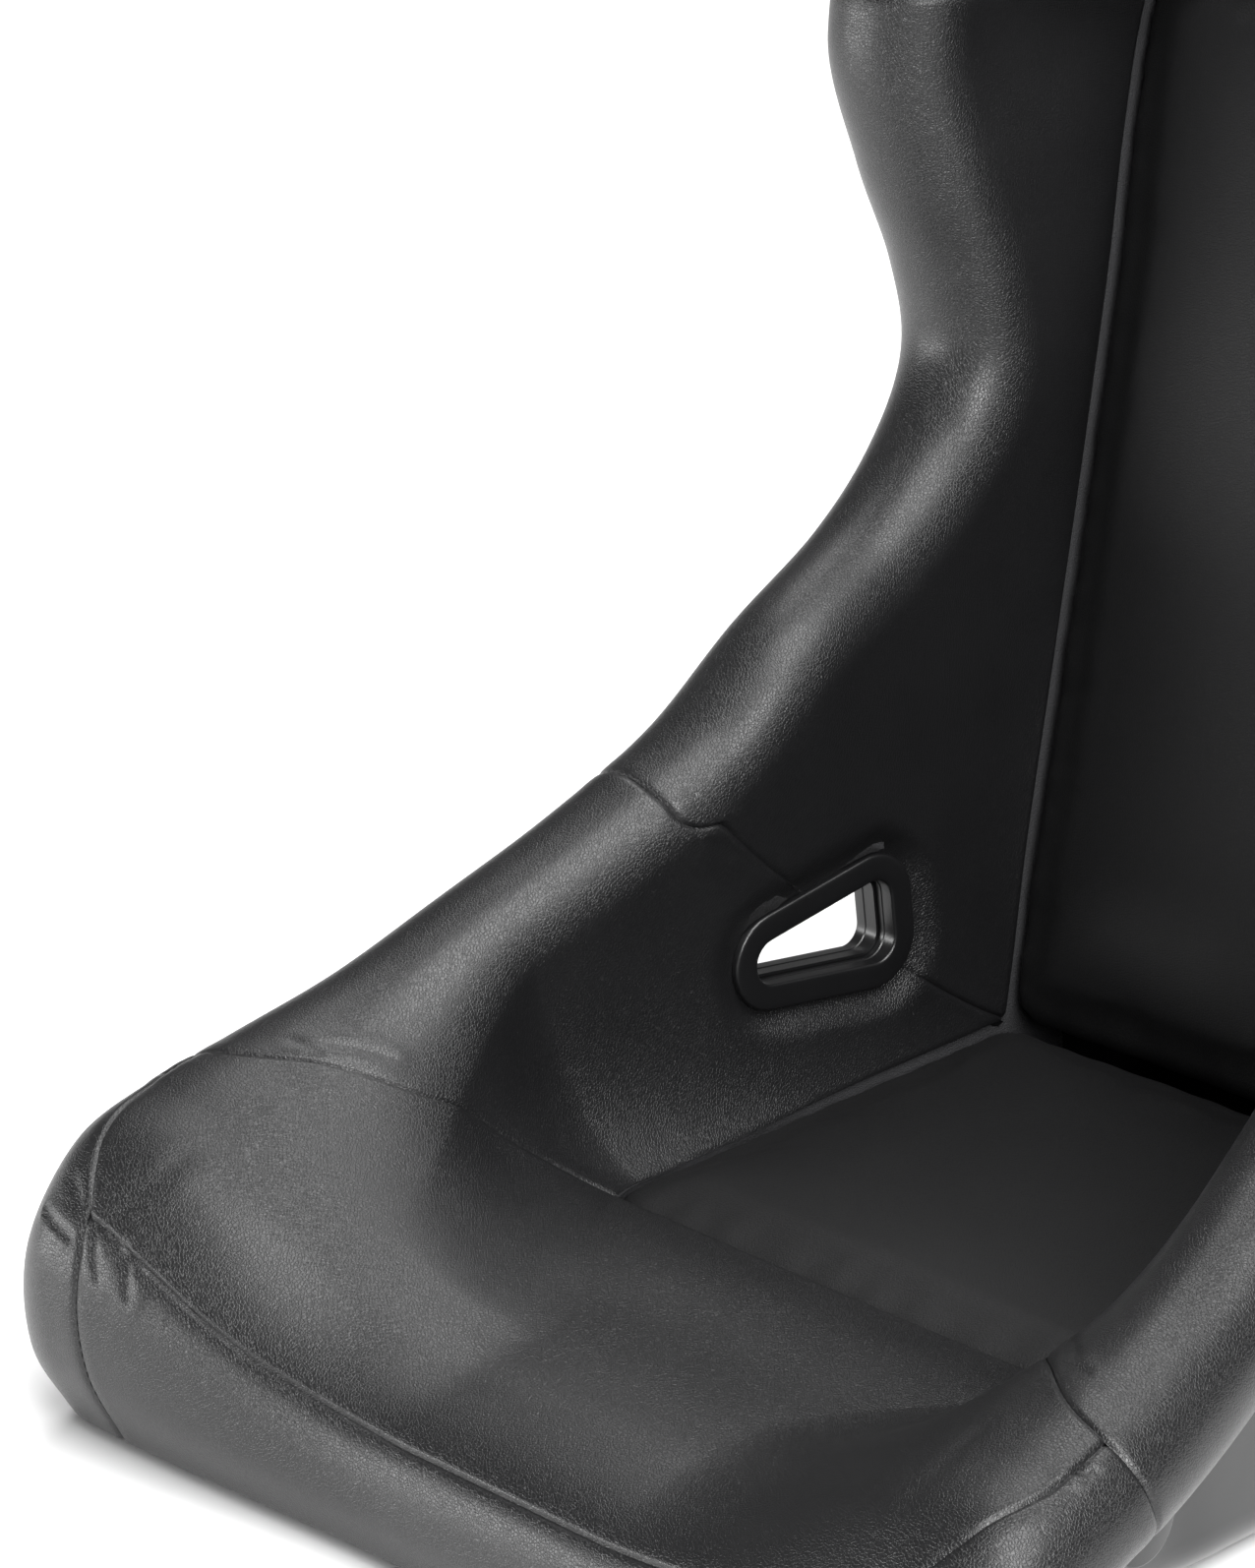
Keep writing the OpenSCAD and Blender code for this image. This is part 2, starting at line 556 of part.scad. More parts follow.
layer_gap = 2 * fit_gap;      // clearance above and below a hook-and-loop strip
front_gap = fit_gap + 1.4;    // clearance ahead of the base cushion
floor_top = shell_t - 0.8;    // top of the laminate under the cushion
cushion_low = floor_top + strip_t + layer_gap;
// The cushion's front face leans with the foam ahead of it, from the crease to the shell
cushion_front = pad(crest_seam(0))[0];
lean_foot = let (s = section(crest_seam(n_edge))) at(s, [0, shell_t + wrap_gap - s[5]]);
cushion_lean = (lean_foot[1] - cushion_front) / (pad(crest_seam(0))[1] - lean_foot[2]);
cushion_rear_lean = 0.2;
// Base cushion inset by d all round, with its lower face at z
module cushion_body(d, z) {
    top = crease_z - 1 - d;
    function ring(p) = outline(half_w - fit_gap - d - p[0],
        cushion_front + front_gap + d + p[0] - p[1] * cushion_lean,
        crease_y - fit_gap - d - p[0] + p[1] * cushion_rear_lean,
        max(corner_r - d - p[0] / 3, 4), p[2] == 0 ? cushion_draw : 0);
    stack([for (p = pillow(cushion_edge - d, top - z))
        [for (v = ring(p)) [v[0], v[1], top + p[1] + cushion_crown * p[2]]]]);
}
module base_cushion_foam() {
    color("#3a3a3c") cushion_body(cover_t + fit_gap, cushion_low);
}
module base_cushion_cover() {
    color("#1b1b1c") difference() {
        cushion_body(0, cushion_low);
        cushion_body(cover_t, cushion_low - below);
    }
}

// Length along the back from the rear crease to station t, and the way back
function run(t) = t <= corner ? 0 : let (k = ceil(t) - 1) run(k) + norm(pad(t) - pad(k));
back_end = neck_seam - seam_gap;
back_table = concat([for (t = [corner : floor(back_end)]) [run(t), t]], [[run(back_end), back_end]]);
back_top = run(back_end);
// Point x across, v up the back pad and n proud of its face
function back_point(x, v, n) =
    let (t = lookup(v, back_table), g = pad(t),
        d = pad(min(t + 0.1, back_end)) - pad(max(t - 0.1, corner + 0.02)), u = d / norm(d))
    [x, g[0] - n * u[1], g[1] + n * u[0]];
function back_half(v) = half_w + spline(PAD_WIDER, lookup(v, back_table)) - fit_gap;
// Heights up the pad where the foam beside it has its rows
back_rows = [for (k = [1 : torso_rows - 1]) run(torso_part([0])[k][0])];
pad_low = 45;                 // depth of the back pad
end_gap = 1;                  // clearance at each end of the pad
end_steps = [0, 0.3, 1];      // rows over its rounded ends, as shares of the rounding
function fall(r, v) = r - sqrt(max(r * r - pow(max(r - v, 0), 2), 0));
// Ring across the back pad at height v, inset by d, with its back face n deep
function back_ring(v, d, n) =
    let (e = cushion_edge - d, v0 = end_gap + d, v1 = back_top - end_gap - d,
        near = min(v - v0, v1 - v), share = (v - v0) / (v1 - v0), top = -d - fall(e, near),
        w = back_half(v) - d - fall(corner_r - d, near) - cushion_draw * sin(180 * share),
        crown = back_crown * sin(180 * share),
        half = [[0, top + crown], [0.5 * w, top + 0.8 * crown], [w - e, top],
            [w - 0.3 * e, top - 0.3 * e], [w, top - e], [w, -n]])
    [for (p = concat([for (i = [5 : -1 : 1]) [-half[i][0], half[i][1]]], half))
        back_point(p[0], v, p[1])];
module back_pad_body(d, n) {
    v0 = end_gap + d;
    v1 = back_top - end_gap - d;
    ends = concat([for (k = end_steps) k * (cushion_edge - d)], [corner_r - d]);
    stack([for (v = concat([for (k = ends) v0 + k], back_rows,
        [for (k = [3 : -1 : 0]) v1 - ends[k]])) back_ring(v, d, n)]);
}
module back_pad_foam() { color("#3a3a3c") back_pad_body(cover_t + fit_gap, pad_low); }
module back_pad_cover() {
    color("#1b1b1c") difference() {
        back_pad_body(0, pad_low);
        back_pad_body(cover_t, pad_low + below);
    }
}
strip_x = 80;                 // middle of a strip from the centre plane
strip_ends = [-220, -55];     // ends of the cushion strips, from the rear crease
module cushion_hook_strips() {
    color("#2a2a2c") both_sides()
        translate([strip_x - strip_w / 2, crease_y + strip_ends[0], floor_top + fit_gap])
            cube([strip_w, strip_ends[1] - strip_ends[0], strip_t]);
}
module back_hook_strips() {
    function face(n) = [for (k = [1 : len(back_rows) - 2])
        [for (x = [-1, 1]) back_point(strip_x + x * strip_w / 2, back_rows[k], n)]];
    color("#2a2a2c") both_sides()
        slab(face(-pad_low - layer_gap), face(-pad_low - layer_gap - strip_t));
}

// ---- belt slot trims: an inner and an outer half whose sleeves pass inside each other
module lap_bezel_inner() {
    difference() {
        union() {
            lap_at(-flange_t) lap_prism(flange_w - flange_bevel, flange_bevel, -flange_bevel);
            lap_at(flange_bevel - flange_t) lap_prism(flange_w, flange_t - flange_bevel);
            lap_at(-0.5) lap_prism(sleeve_t, lap_sleeve + 0.5);
        }
        lap_at(-10) lap_prism(0, 40);
    }
}
module lap_bezel_outer() {
    difference() {
        union() {
            lap_at(lap_depth) lap_prism(flange_w, flange_t - 1, flange_bevel);
            lap_at(lap_sleeve - sleeve_lap) lap_prism(-fit_gap, lap_depth - lap_sleeve + sleeve_lap + 1);
        }
        lap_at(0) lap_prism(-fit_gap - sleeve_step, 60);
    }
}
module shoulder_bezel_inner() {
    difference() {
        union() {
            shoulder_at(shoulder_seat - flange_t)
                shoulder_prism(flange_w - flange_bevel, flange_bevel, -flange_bevel);
            shoulder_at(shoulder_seat - flange_t + flange_bevel)
                shoulder_prism(flange_w, flange_t - flange_bevel);
            shoulder_at(0) shoulder_prism(sleeve_t, shoulder_sleeve);
        }
        shoulder_at(-10) shoulder_prism(0, 60);
    }
}
module shoulder_bezel_outer() {
    difference() {
        union() {
            shoulder_at(shoulder_depth) shoulder_prism(flange_w, flange_t - 1, flange_bevel);
            shoulder_at(shoulder_sleeve - sleeve_lap)
                shoulder_prism(-fit_gap, shoulder_depth - shoulder_sleeve + sleeve_lap + 1);
        }
        shoulder_at(0) shoulder_prism(-fit_gap - sleeve_step, 90);
    }
}
module lap_bezel_inner_left() { color("#111112") lap_bezel_inner(); }
module lap_bezel_inner_right() { color("#111112") mirror([1, 0, 0]) lap_bezel_inner(); }
module lap_bezel_outer_left() { color("#111112") lap_bezel_outer(); }
module lap_bezel_outer_right() { color("#111112") mirror([1, 0, 0]) lap_bezel_outer(); }
module shoulder_bezel_inner_left() { color("#111112") shoulder_bezel_inner(); }
module shoulder_bezel_inner_right() { color("#111112") mirror([1, 0, 0]) shoulder_bezel_inner(); }
module shoulder_bezel_outer_left() { color("#111112") shoulder_bezel_outer(); }
module shoulder_bezel_outer_right() { color("#111112") mirror([1, 0, 0]) shoulder_bezel_outer(); }

// ---- bead along the cut edge of the cover
bead_sides = 6;
function bead_middle(t) =
    let (s = section(t), L = shell_line(s), k = 3 + n_flare,
        u = (L[k - 1] - L[k]) / norm(L[k - 1] - L[k]), v = shifted(L, bead_r + wrap_gap)[k])
    at(s, v + (bead_r + wrap_gap) * u);
module edge_bead() {
    C = [for (t = shell_rows) bead_middle(t)];
    stack([for (k = [0 : len(C) - 1])
        let (d = C[min(k + 1, len(C) - 1)] - C[max(k - 1, 0)], w = d / norm(d),
            a = cross([1, 0, 0], w), b = a / norm(a), c = cross(w, b))
        [for (j = [0 : bead_sides - 1]) let (q = 360 * j / bead_sides)
            C[k] + bead_r * (cos(q) * b + sin(q) * c)]]);
}
module edge_bead_left() { color("#151516") edge_bead(); }
module edge_bead_right() { color("#151516") mirror([1, 0, 0]) edge_bead(); }

shell();
mount_plate_left();
mount_plate_right();
mount_inserts_left();
mount_inserts_right();
front_roll_foam();
thigh_foam_left();
thigh_foam_right();
torso_foam_left();
torso_foam_right();
head_foam();
front_panel_upper();
front_panel_lower();
side_panel_left();
side_panel_right();
thigh_cover_left();
thigh_cover_right();
torso_cover_left();
torso_cover_right();
head_cover();
base_cushion_foam();
base_cushion_cover();
back_pad_foam();
back_pad_cover();
lap_bezel_inner_left();
lap_bezel_inner_right();
lap_bezel_outer_left();
lap_bezel_outer_right();
shoulder_bezel_inner_left();
shoulder_bezel_inner_right();
shoulder_bezel_outer_left();
shoulder_bezel_outer_right();
edge_bead_left();
edge_bead_right();
cushion_hook_strips();
back_hook_strips();
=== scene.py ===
"""Dressed model of a fixed-back racing seat: sewn cover, cushions, belt slot trims and shell.

Everything soft is modelled again here as a smooth closed mesh on the same control curves, and
takes its finish from procedural materials. Lengths in the classes are millimetres; meshes are
in metres.
"""
import logging
import math
from collections.abc import Callable, Mapping, Sequence
from dataclasses import dataclass, field
from enum import Enum
from typing import Any

import bmesh
import bpy
import numpy as np
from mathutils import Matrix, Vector


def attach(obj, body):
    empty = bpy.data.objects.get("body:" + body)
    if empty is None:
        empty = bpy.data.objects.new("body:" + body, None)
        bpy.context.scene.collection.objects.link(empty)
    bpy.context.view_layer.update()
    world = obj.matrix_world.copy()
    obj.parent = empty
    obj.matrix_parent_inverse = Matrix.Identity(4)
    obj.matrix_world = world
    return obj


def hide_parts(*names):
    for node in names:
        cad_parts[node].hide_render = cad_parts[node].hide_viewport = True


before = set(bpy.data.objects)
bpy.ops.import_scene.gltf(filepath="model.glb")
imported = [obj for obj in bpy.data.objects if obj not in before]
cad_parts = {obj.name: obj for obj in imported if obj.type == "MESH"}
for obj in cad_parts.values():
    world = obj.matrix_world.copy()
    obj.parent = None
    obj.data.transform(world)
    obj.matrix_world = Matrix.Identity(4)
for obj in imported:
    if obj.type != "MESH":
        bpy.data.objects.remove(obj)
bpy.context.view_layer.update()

BODY = "root"
MM = 0.001
Array = np.ndarray
# Larger than any distance on the seat, in millimetres
FAR = 1e9
# Turns the sitter's left into the sitter's right
MIRROR = np.array([-1.0, 1, 1])
log = logging.getLogger("racing_seat")


# ---- curves

def spline(points: Sequence, station: Array, corner: int = -1) -> Array:
    """Read a Catmull-Rom curve through a list of values or points.

    Args:
        points: control values, one for each whole station.
        station: stations to read.
        corner: station at which the curve may turn sharply.

    Returns:
        Values at the stations.
    """
    p = np.asarray(points, float)
    n = len(p) - 1
    c = np.clip(np.asarray(station, float), 0, n)
    i = np.minimum(np.floor(c).astype(int), n - 1)
    f = c - i
    first = (i == 0) | (i == corner)
    end = (i + 1 == n) | (i + 1 == corner)
    if p.ndim == 2:
        f, first, end = f[..., None], first[..., None], end[..., None]
    b, d = p[i], p[i + 1]
    a = np.where(first, 2 * b - d, p[np.maximum(i - 1, 0)])
    e = np.where(end, 2 * d - b, p[np.minimum(i + 2, n)])
    square, cube = f * f, f * f * f
    return 0.5 * (2 * b + (d - a) * f + (2 * a - 5 * b + 4 * d - e) * square
                  + (3 * b - a - 3 * d + e) * cube)


def smooth(share: Array) -> Array:
    """Ease a share from 0 to 1 with level ends."""
    c = np.clip(share, 0, 1)
    return c * c * (3 - 2 * c)


def bezier(a: Array, b: Array, c: Array, d: Array, s: Array) -> Array:
    """Read a cubic Bezier curve at share s."""
    return (1 - s) ** 3 * a + 3 * (1 - s) ** 2 * s * b + 3 * (1 - s) * s * s * c + s ** 3 * d


def graded(count: int, pull: float = 1.2) -> Array:
    """Shares from 0 to 1 that lie closer together towards both ends."""
    u = np.linspace(-1, 1, count)
    return 0.5 * (1 + np.tanh(pull * u) / math.tanh(pull))


def bump(value: Array, middle: float, width: float) -> Array:
    """Bell curve round a middle value."""
    return np.exp(-((value - middle) / width) ** 2)


def turned(z: float = 0.0, y: float = 0.0, x: float = 0.0) -> Array:
    """Rotation matrix of turns about X, then Y, then Z, in degrees.

    Args:
        z: turn about Z, made last.
        y: turn about Y.
        x: turn about X, made first.

    Returns:
        The 3 by 3 matrix.
    """
    a, b, c = (math.radians(v) for v in (x, y, z))
    rx = np.array([[1, 0, 0], [0, math.cos(a), -math.sin(a)], [0, math.sin(a), math.cos(a)]])
    ry = np.array([[math.cos(b), 0, math.sin(b)], [0, 1, 0], [-math.sin(b), 0, math.cos(b)]])
    rz = np.array([[math.cos(c), -math.sin(c), 0], [math.sin(c), math.cos(c), 0], [0, 0, 1]])
    return rz @ ry @ rx


def resampled(line: Array, count: int) -> Array:
    """Spread a number of points evenly along polylines held in the last two axes.

    Args:
        line: polylines, with their points in the last axis but one.
        count: number of points wanted in each.

    Returns:
        The polylines with evenly spread points.
    """
    steps = np.linalg.norm(np.diff(line, axis=-2), axis=-1)
    out = np.empty(line.shape[:-2] + (count, line.shape[-1]))
    for k in np.ndindex(line.shape[:-2]):
        run = np.concatenate([[0], np.cumsum(steps[k])])
        at = np.linspace(0, run[-1], count)
        for axis in range(line.shape[-1]):
            out[k + (slice(None), axis)] = np.interp(at, run, line[k][:, axis])
    return out


# ---- the seat's own form

@dataclass(frozen=True)
class Section:
    """Values of the seat's cross-sections at an array of stations, in millimetres."""

    foot_x: Array
    roll_x: Array
    radius: Array
    height: Array
    wall_x: Array
    depth: Array
    sweep: Array
    foot: Array
    up: Array
    flare: Array

    def place(self, across: Array, along: Array, side: float | Array = 1.0) -> Array:
        """Put section points into the seat frame.

        Args:
            across: distance out from the centre plane.
            along: distance up the section from the foot of the bolster.
            side: 1 for the sitter's left, -1 for the right.

        Returns:
            Points with X, Y and Z in the last axis.
        """
        y = self.foot[..., 0] + self.up[..., 0] * along
        z = self.foot[..., 1] + self.up[..., 1] * along
        return np.stack([across * side, y, z], axis=-1)


@dataclass(frozen=True)
class SeatForm:
    """The seat's own shape: control curves by station, and the contour of each section.

    Stations run from the front edge (0) over the rear crease (10) to the back of the head (27).
    Contour indices run from the crease (0) over the crest (7) and the widest point of the
    roll (11) to the cut edge of the cover (13).
    """

    crease_y: float = 165.0
    crease_z: float = 84.0
    half_width: float = 157.5
    roll_radius: float = 34.0
    base_half_width: float = 188.0
    fillet: float = 30.0
    laminate: float = 4.5
    cover: float = 2.0
    wrap: float = 6.0
    wrap_gap: float = 0.8
    fit_gap: float = 0.3
    corner: int = 10
    last: int = 27
    shell_end: float = 21.703
    neck_seam: float = 16.4
    wall_end: float = 3.0
    crest: float = 7.0
    equator: float = 11.0
    edge: float = 13.0
    rim: tuple[tuple[float, float], ...] = (
        (-517, -76), (-539, -32), (-537, 20), (-505, 62), (-463, 78), (-415, 91), (-359, 108),
        (-302, 133), (-242, 161), (-187, 193), (-137, 236), (-69, 265), (-25, 296), (-1, 334),
        (-4, 376), (-18, 425), (-29, 489), (-12, 553), (54, 616), (130, 663), (173, 712),
        (189, 758), (207, 796), (227, 820), (256, 828), (282, 812), (291, 781), (281, 752))
    pad: tuple[tuple[float, float], ...] = (
        (-509, -76), (-517, -46), (-503, -14), (-465, 0), (-423, 4), (-374, 4), (-319, 4),
        (-265, -3), (-187, -3), (-109, -1), (0, 0), (25, 88), (55, 193), (86, 299), (106, 369),
        (123, 429), (140, 489), (158, 549), (175, 612), (192, 670), (205, 719), (216, 756),
        (227, 782), (238, 801), (256, 808), (275, 798), (283, 777), (277, 751))
    pad_wider: tuple[float, ...] = (
        0, 0, 0, 0, 0, 0, 0, 0, 0, 0, 0, 9, 18, 28, 35, 42, 46, 38, 4, -36, -60, -68, -70, -71,
        -72, -72, -72, -72)
    roll_out: tuple[float, ...] = (
        102, 102, 102, 102, 100, 94.7, 84.7, 73.4, 61.1, 49.3, 42.4, 50.6, 56.3, 59.8, 66.1,
        76.2, 86.1, 78, 44, -2, -32, -42, -46, -50, -54, -56, -56, -56)
    roll_size: tuple[float, ...] = (
        0.95, 0.98, 1, 1, 1, 1, 1, 1, 1, 1, 1, 1.03, 1.08, 1.16, 1.18, 1.18, 1.16, 1.12, 1.02,
        0.92, 0.86, 0.84, 0.84, 0.84, 0.84, 0.84, 0.84, 0.84)
    shell_out: tuple[float, ...] = (
        26, 26, 26, 24, 18, 9, 0, 2, 3, 1, 0, 3, 8, 16, 22, 30, 34, 24, -6, -50, -80, -88, -92,
        -94, -96, -96, -96, -96)
    depths: tuple[float, ...] = (
        40, 72, 120, 200, 240, 260, 260, 240, 220, 150, 110, 76, 66, 55, 54, 55, 55, 55, 54, 55,
        55, 50, 46, 40, 36, 34, 34, 34)
    sweeps: tuple[float, ...] = (
        1, 1, 1, 1, 1, 0.75, 0.3, 0, 0, 0, 0, 0, 0, 0, 0, 0, 0, 0, 0.2, 0.7, 1, 1, 1, 1, 1, 1,
        1, 1)
    crest_stations: tuple[float, ...] = (6.65, 6.04, 5.58, 5.16, 4.64, 4.5, 4.4)
    mid_stations: tuple[float, ...] = (10, 9.36, 8.57, 8.44, 8.45, 8.5, 8.5)
    front_stations: tuple[tuple[float, float], ...] = (
        (0, 1.86), (2, 1.93), (3, 1.98), (4, 2.09), (5, 2.24), (6, 2.38), (7, 2.45), (8, 2.5))
    side_indices: tuple[tuple[float, float], ...] = (
        (0, 6.15), (0.75, 6.13), (1.5, 6.27), (2.1, 6.34), (2.5, 6.49), (2.75, 6.77), (3, 7.01),
        (3.25, 7.36), (3.5, 7.7), (3.8, 8), (4.2, 8.15), (5, 8.2))

    def section(self, station: Array) -> Section:
        """Work out the section values at an array of stations.

        Args:
            station: stations to read.

        Returns:
            The section values, one for each station.
        """
        t = np.asarray(station, float)
        foot = self.placed(self.pad, t, self.corner)
        crest = self.placed(self.rim, t)
        reach = crest - foot
        height = np.linalg.norm(reach, axis=-1)
        up = reach / height[..., None]
        base = foot[..., 1] / np.maximum(up[..., 1], 0.05) + 1.2
        depth = spline(self.depths, t)
        soft = (depth + base - np.sqrt((depth - base) ** 2 + 144)) / 2
        return Section(
            foot_x=self.half_width + spline(self.pad_wider, t),
            roll_x=self.half_width + spline(self.roll_out, t),
            radius=self.roll_radius * spline(self.roll_size, t),
            height=height,
            wall_x=self.base_half_width + spline(self.shell_out, t),
            depth=soft,
            sweep=np.clip(spline(self.sweeps, t), 0, 1),
            foot=foot,
            up=up,
            flare=0.34 + 0.26 * smooth((t - 6.9) / 1.3),
        )

    def placed(self, curve: tuple, station: Array, corner: int = -1) -> Array:
        """Place of a control curve in the centre plane, as Y and Z."""
        return spline(curve, station, corner) + np.array([self.crease_y, self.crease_z])

    def seam_share(self, index: Array) -> Array:
        """Position of a contour index along a seam's list of stations.

        Args:
            index: contour indices; their sign is ignored.

        Returns:
            Places between the first and the last station of the list.
        """
        i = np.abs(index)
        inner = i / self.crest
        outer = 1 + 0.5 * (i - self.crest) / (self.edge - self.crest)
        return 4 * np.where(i <= self.crest, inner, outer)

    def crest_seam(self, index: Array) -> Array:
        """Station of the seam between the front panel and the thigh cover."""
        return spline(self.crest_stations, self.seam_share(index))

    def mid_seam(self, index: Array) -> Array:
        """Station of the seam between the thigh cover and the torso cover."""
        return spline(self.mid_stations, self.seam_share(index))

    def front_seam(self, index: Array) -> Array:
        """Station of the seam across the front panel."""
        return np.interp(np.abs(index), *zip(*self.front_stations))

    def side_seam(self, station: Array) -> Array:
        """Contour index of the seam between the front panel and the side panel."""
        return np.interp(station, *zip(*self.side_indices))

    def flare_curve(self, sec: Section, share: Array) -> tuple[Array, Array]:
        """Outer wall of the shell from its foot (0) to the rim (1).

        Args:
            sec: the section values.
            share: place along the wall, from 0 to 1.

        Returns:
            Distances across and along the section.
        """
        q0 = -sec.depth
        qe = sec.height - sec.radius
        r = np.minimum(self.fillet, 0.3 * (qe - q0))
        qv = q0 + r + sec.flare * (qe - q0 - r)
        reach = 0.35 * (qe - qv)
        xw = sec.wall_x + 2
        xo = sec.roll_x + sec.radius - self.wrap
        return bezier(xw, xw, xo, xo, share), bezier(qv, qv + reach, qe - reach, qe, share)

    def contour(self, sec: Section, index: Array) -> tuple[Array, Array]:
        """Outer face of the trim in section, at real contour indices from 0 to 13.

        Args:
            sec: the section values, one for each index.
            index: contour indices; their sign is ignored.

        Returns:
            Distances across and along the section.
        """
        i = np.abs(np.asarray(index, float))
        rise = np.minimum(sec.radius, sec.height)
        w = sec.height - rise
        xi = sec.roll_x - sec.radius
        s = np.clip(i / self.wall_end, 0, 1)
        wall_x = bezier(sec.foot_x, sec.foot_x + 0.75 * (xi - sec.foot_x), xi, xi, s)
        wall_y = bezier(0 * w, 0.15 * w, 0.5 * w, w, s)
        a = np.clip((i - self.wall_end) / (self.crest - self.wall_end), 0, 1) * math.pi / 2
        inner = i > self.wall_end
        sharp_x = np.where(inner, sec.roll_x - sec.radius * np.cos(a), wall_x)
        sharp_y = np.where(inner, w + rise * np.sin(a), wall_y)
        f = np.clip(i / self.crest, 0, 1)
        x0 = 0.38 * sec.foot_x
        x = sharp_x * (1 - sec.sweep) + (x0 + (sec.roll_x - x0) * f) * sec.sweep
        y = sharp_y * (1 - sec.sweep) + sec.height * smooth(f) * sec.sweep
        b = np.clip((i - self.crest) / (self.equator - self.crest), 0, 1) * math.pi / 2
        outer = i > self.crest
        x = np.where(outer, sec.roll_x + sec.radius * np.sin(b), x)
        y = np.where(outer, sec.height - sec.radius + sec.radius * np.cos(b), y)
        share = 1 - 0.5 * np.clip((i - self.equator) / (self.edge - self.equator), 0, 1)
        wrapped = i > self.equator
        ex, ey = self.flare_curve(sec, share)
        fx, fy = self.flare_curve(sec, share - 0.01)
        gx, gy = self.flare_curve(sec, share + 0.01)
        n = np.hypot(gx - fx, gy - fy)
        rest = self.cover + self.wrap_gap
        out = rest + (self.wrap - rest) * (1 - (2 - 2 * share) ** 3)
        x = np.where(wrapped, ex + out * (gy - fy) / n, x)
        y = np.where(wrapped, ey - out * (gx - fx) / n, y)
        return x, y

    def trim(self, station: Array, index: Array, inward: float = 0.0) -> Array:
        """Points of the trim's outer face, or of a face parallel to it.

        Args:
            station: stations, one for each point.
            index: contour indices; negative ones are on the sitter's right.
            inward: distance into the padding.

        Returns:
            Points in the seat frame, in millimetres.
        """
        sec = self.section(station)
        i = np.abs(index)
        x, y = self.contour(sec, i)
        if inward:
            step = 0.02
            ax, ay = self.contour(sec, np.maximum(i - step, 0))
            bx, by = self.contour(sec, np.minimum(i + step, self.edge))
            n = np.maximum(np.hypot(bx - ax, by - ay), 1e-6)
            x, y = x + inward * (by - ay) / n, y - inward * (bx - ax) / n
        return sec.place(x, y, np.where(np.asarray(index) < 0, -1.0, 1.0))

    def shell_line(self, sec: Section, share: Array) -> tuple[Array, Array]:
        """Outer face of the shell in section.

        Args:
            sec: the section values.
            share: place along the face: floor up to 1, turn to 2, side to 3, flare to 4 and
                rim to 5.

        Returns:
            Distances across and along the section.
        """
        q0 = -sec.depth
        qe = sec.height - sec.radius
        r = np.minimum(self.fillet, 0.3 * (qe - q0))
        flat = np.clip(share, 0, 1)
        angle = np.clip(share - 1, 0, 1) * math.pi / 2
        side = np.clip(share - 2, 0, 1)
        x = flat * (sec.wall_x - r) + r * np.sin(angle) + 2 * side
        y = q0 + r - r * np.cos(angle) + side * sec.flare * (qe - q0 - r)
        flare_x, flare_y = self.flare_curve(sec, np.clip(share - 3, 0, 1))
        x, y = np.where(share > 3, flare_x, x), np.where(share > 3, flare_y, y)
        rr = sec.radius - self.wrap
        lip = np.clip(share - 4, 0, 1) * math.radians(50)
        x = np.where(share > 4, sec.roll_x + rr * np.cos(lip), x)
        y = np.where(share > 4, qe + rr * np.sin(lip), y)
        return x, y

    def shell(self, station: Array, share: Array, outward: float = 0.0) -> Array:
        """Section points (across, along) on a face parallel to the shell's outer face.

        Args:
            station: stations, one for each point.
            share: place along the shell's face, from 0 to 5.
            outward: distance out from the shell's outer face.

        Returns:
            Distances across and along the section, in the last axis.
        """
        sec = self.section(station)
        x, y = self.shell_line(sec, share)
        ax, ay = self.shell_line(sec, np.maximum(share - 0.01, 0))
        bx, by = self.shell_line(sec, np.minimum(share + 0.01, 5))
        n = np.maximum(np.hypot(bx - ax, by - ay), 1e-6)
        return np.stack([x + outward * (by - ay) / n, y - outward * (bx - ax) / n], -1)


FORM = SeatForm()


# ---- materials

def linear(code: str) -> tuple[float, float, float, float]:
    """Turn an sRGB hex colour into linear red, green, blue and alpha.

    Args:
        code: the colour as a hash sign and six digits.

    Returns:
        The four linear values.
    """
    parts = [int(code[i:i + 2], 16) / 255 for i in (1, 3, 5)]
    red, green, blue = (v / 12.92 if v <= 0.04045 else ((v + 0.055) / 1.055) ** 2.4
                        for v in parts)
    return red, green, blue, 1.0


def add_node(tree: bpy.types.NodeTree, kind: str, inputs: Mapping[Any, Any] | None = None,
             **settings: Any) -> bpy.types.Node:
    """Add a node with its settings and links.

    Args:
        tree: node tree that gets the node.
        kind: Blender's name for the node type.
        inputs: socket names or numbers, each with a value or the socket that feeds it.
        settings: properties of the node.

    Returns:
        The new node.
    """
    node = tree.nodes.new(kind)
    for name, value in settings.items():
        setattr(node, name, value)
    for key, value in (inputs or {}).items():
        if isinstance(value, bpy.types.NodeSocket):
            tree.links.new(value, node.inputs[key])
        else:
            node.inputs[key].default_value = value
    return node


class Grain(Enum):
    """Kinds of fine relief on a finish."""

    HIDE = "hide"
    SPARK = "spark"
    PEEL = "peel"
    CELLS = "cells"
    HOOKS = "hooks"
    FIBRE = "fibre"


